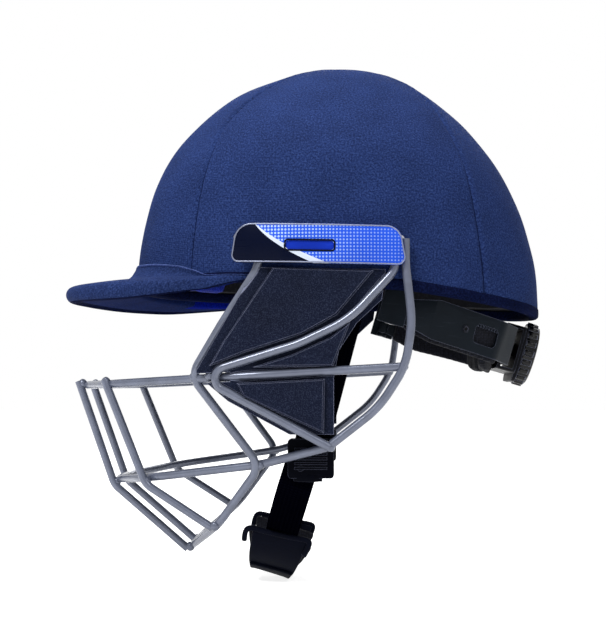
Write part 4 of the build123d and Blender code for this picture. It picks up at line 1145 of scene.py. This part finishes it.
# Weld beads where the guard's wires cross
BEAD_RADIUS = 3.1
WELDS = [(-84.0, -98.2, -51.8), (-74.0, -105.6, -51.2), (-141.6, -66.2, -54.2), (-165.4, -20.4, -55.0),
         (-46.6, -88.8, -103.0), (-5.0, -108.8, -91.2), (-116.2, -68.2, -113.8), (-143.0, -21.0, -117.8),
         (-74.2, -72.4, -140.2), (-95.2, -22.0, -158.6), (36.6, -109.6, -45.8)]
points, faces = [], []
for n, (x, y, z) in enumerate(WELDS):
    for s in (1, -1):
        blob(points, faces, Vector((x, y * s, z)), BEAD_RADIUS, n * 3.7 + s)
beads = piece("guard_weld_beads", points, faces, ["wire_steel"])
refine(beads)

# Lip below each buckle
for side, s in SIDES:
    line = [(-26.6, s * 89.6, -109.8), (-18.0, s * 90.0, -110.4), (-9.8, s * 89.6, -110.0)]
    lip = swept(side + "_buckle_lip", spline(line, 16), oval(4.6, 2.2, 16, 4.0), Vector((0, s, 0)), "buckle_plastic")
    soften(lip, 0.4, 2, 50)
    bake(lip)

# Boss on each fit band, ahead of its window, as rings of (radius, height)
BOSS_RINGS = [(2.4, -0.3), (2.3, 0.4), (2.1, 0.7), (1.5, 0.8), (1.2, 0.4), (0.5, 0.3)]
BOSS_X, BOSS_Z, BOSS_SPOKES = 75.8, -22.5, 28
for side, s in SIDES:
    start = Vector((BOSS_X, s * 140, BOSS_Z)) * MM
    hit, place, normal, _ = NODES[side + "_fit_band"].ray_cast(start, Vector((0, -s, 0)))
    assert hit
    place = place / MM
    along = normal.cross(Vector((0, 0, 1))).normalized()
    upward = along.cross(normal).normalized()
    points = []
    for r, h in BOSS_RINGS:
        for k in range(BOSS_SPOKES):
            a = TURN * k / BOSS_SPOKES
            points.append(place + normal * h + (along * math.cos(a) + upward * math.sin(a)) * r)
    faces = tube_faces(len(BOSS_RINGS), BOSS_SPOKES)
    boss = piece(side + "_band_boss", points, faces, ["housing_plastic"], side + "_band")
    turn_outward(boss)

# Camera, at the photograph's place
camera_data = bpy.data.cameras.new("camera")
camera_data.lens = 68.8
camera_data.sensor_width = 36.0
camera_data.clip_start = 0.01
camera = linked("camera", camera_data)
camera.location = (0.0035, -0.810, -0.0579)
camera.rotation_euler = (math.radians(90 + 3.07), 0, math.radians(1.954))
scene.camera = camera

# Floor, world and lights
low_z = min(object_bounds()[0][2], cad_box[0][2])
FLOOR_SIZE, FLOOR_GLOW, WORLD_LIGHT = 6.0, 0.8, 0.22
corners = [(x * FLOOR_SIZE, y * FLOOR_SIZE, low_z) for x, y in ((-1, -1), (1, -1), (1, 1), (-1, 1))]
floor_mesh = bpy.data.meshes.new("floor")
floor_mesh.from_pydata(corners, [], [(0, 1, 2, 3)])
floor = linked("floor", floor_mesh)
paper = Shader("floor_paper", 0.9, spec=0.1)
paper.colour(0.86)
seen = paper.rays("Is Camera Ray", "Is Glossy Ray")
glow = paper.feed(paper.add("Emission"), Color=(1, 1, 1, 1), Strength=paper.math("MULTIPLY", seen, FLOOR_GLOW))
both = paper.add("AddShader")
paper.put(both.inputs[0], paper.bsdf.outputs[0])
paper.put(both.inputs[1], glow.outputs[0])
paper.feed(paper.nodes["Material Output"], Surface=both.outputs[0])
floor_mesh.materials.append(paper.mat)

world = bpy.data.worlds.new("studio")
scene.world = world
world.use_nodes = True
studio = Tree(world.node_tree)
seen = studio.rays("Is Camera Ray", "Is Transmission Ray", "Is Glossy Ray")
level = studio.feed(studio.add("MapRange"), Value=seen, To_Min=WORLD_LIGHT, To_Max=1.0)
studio.feed(studio.nodes["Background"], Color=(1, 1, 1, 1), Strength=level.outputs[0])


def softbox(name, place, target, power, width, height):
    data = bpy.data.lights.new(name, "AREA")
    data.shape = "RECTANGLE"
    data.size, data.size_y = width, height
    data.energy = power
    obj = linked(name, data)
    obj.location = place
    obj.rotation_euler = (Vector(target) - Vector(place)).to_track_quat("-Z", "Y").to_euler()


softbox("key", (-0.8, -1.2, 1.4), (0, 0, 0), 28.0, 0.65, 0.5)
softbox("fill", (0.8, -1.35, 1.15), (0.1, 0, 0), 4.0, 0.3, 0.3)
softbox("top", (-0.1, 0.0, 1.6), (0, 0, 0), 22.0, 1.0, 1.0)
softbox("back", (0.2, 1.5, 0.7), (0, 0, 0), 9.0, 1.2, 0.8)
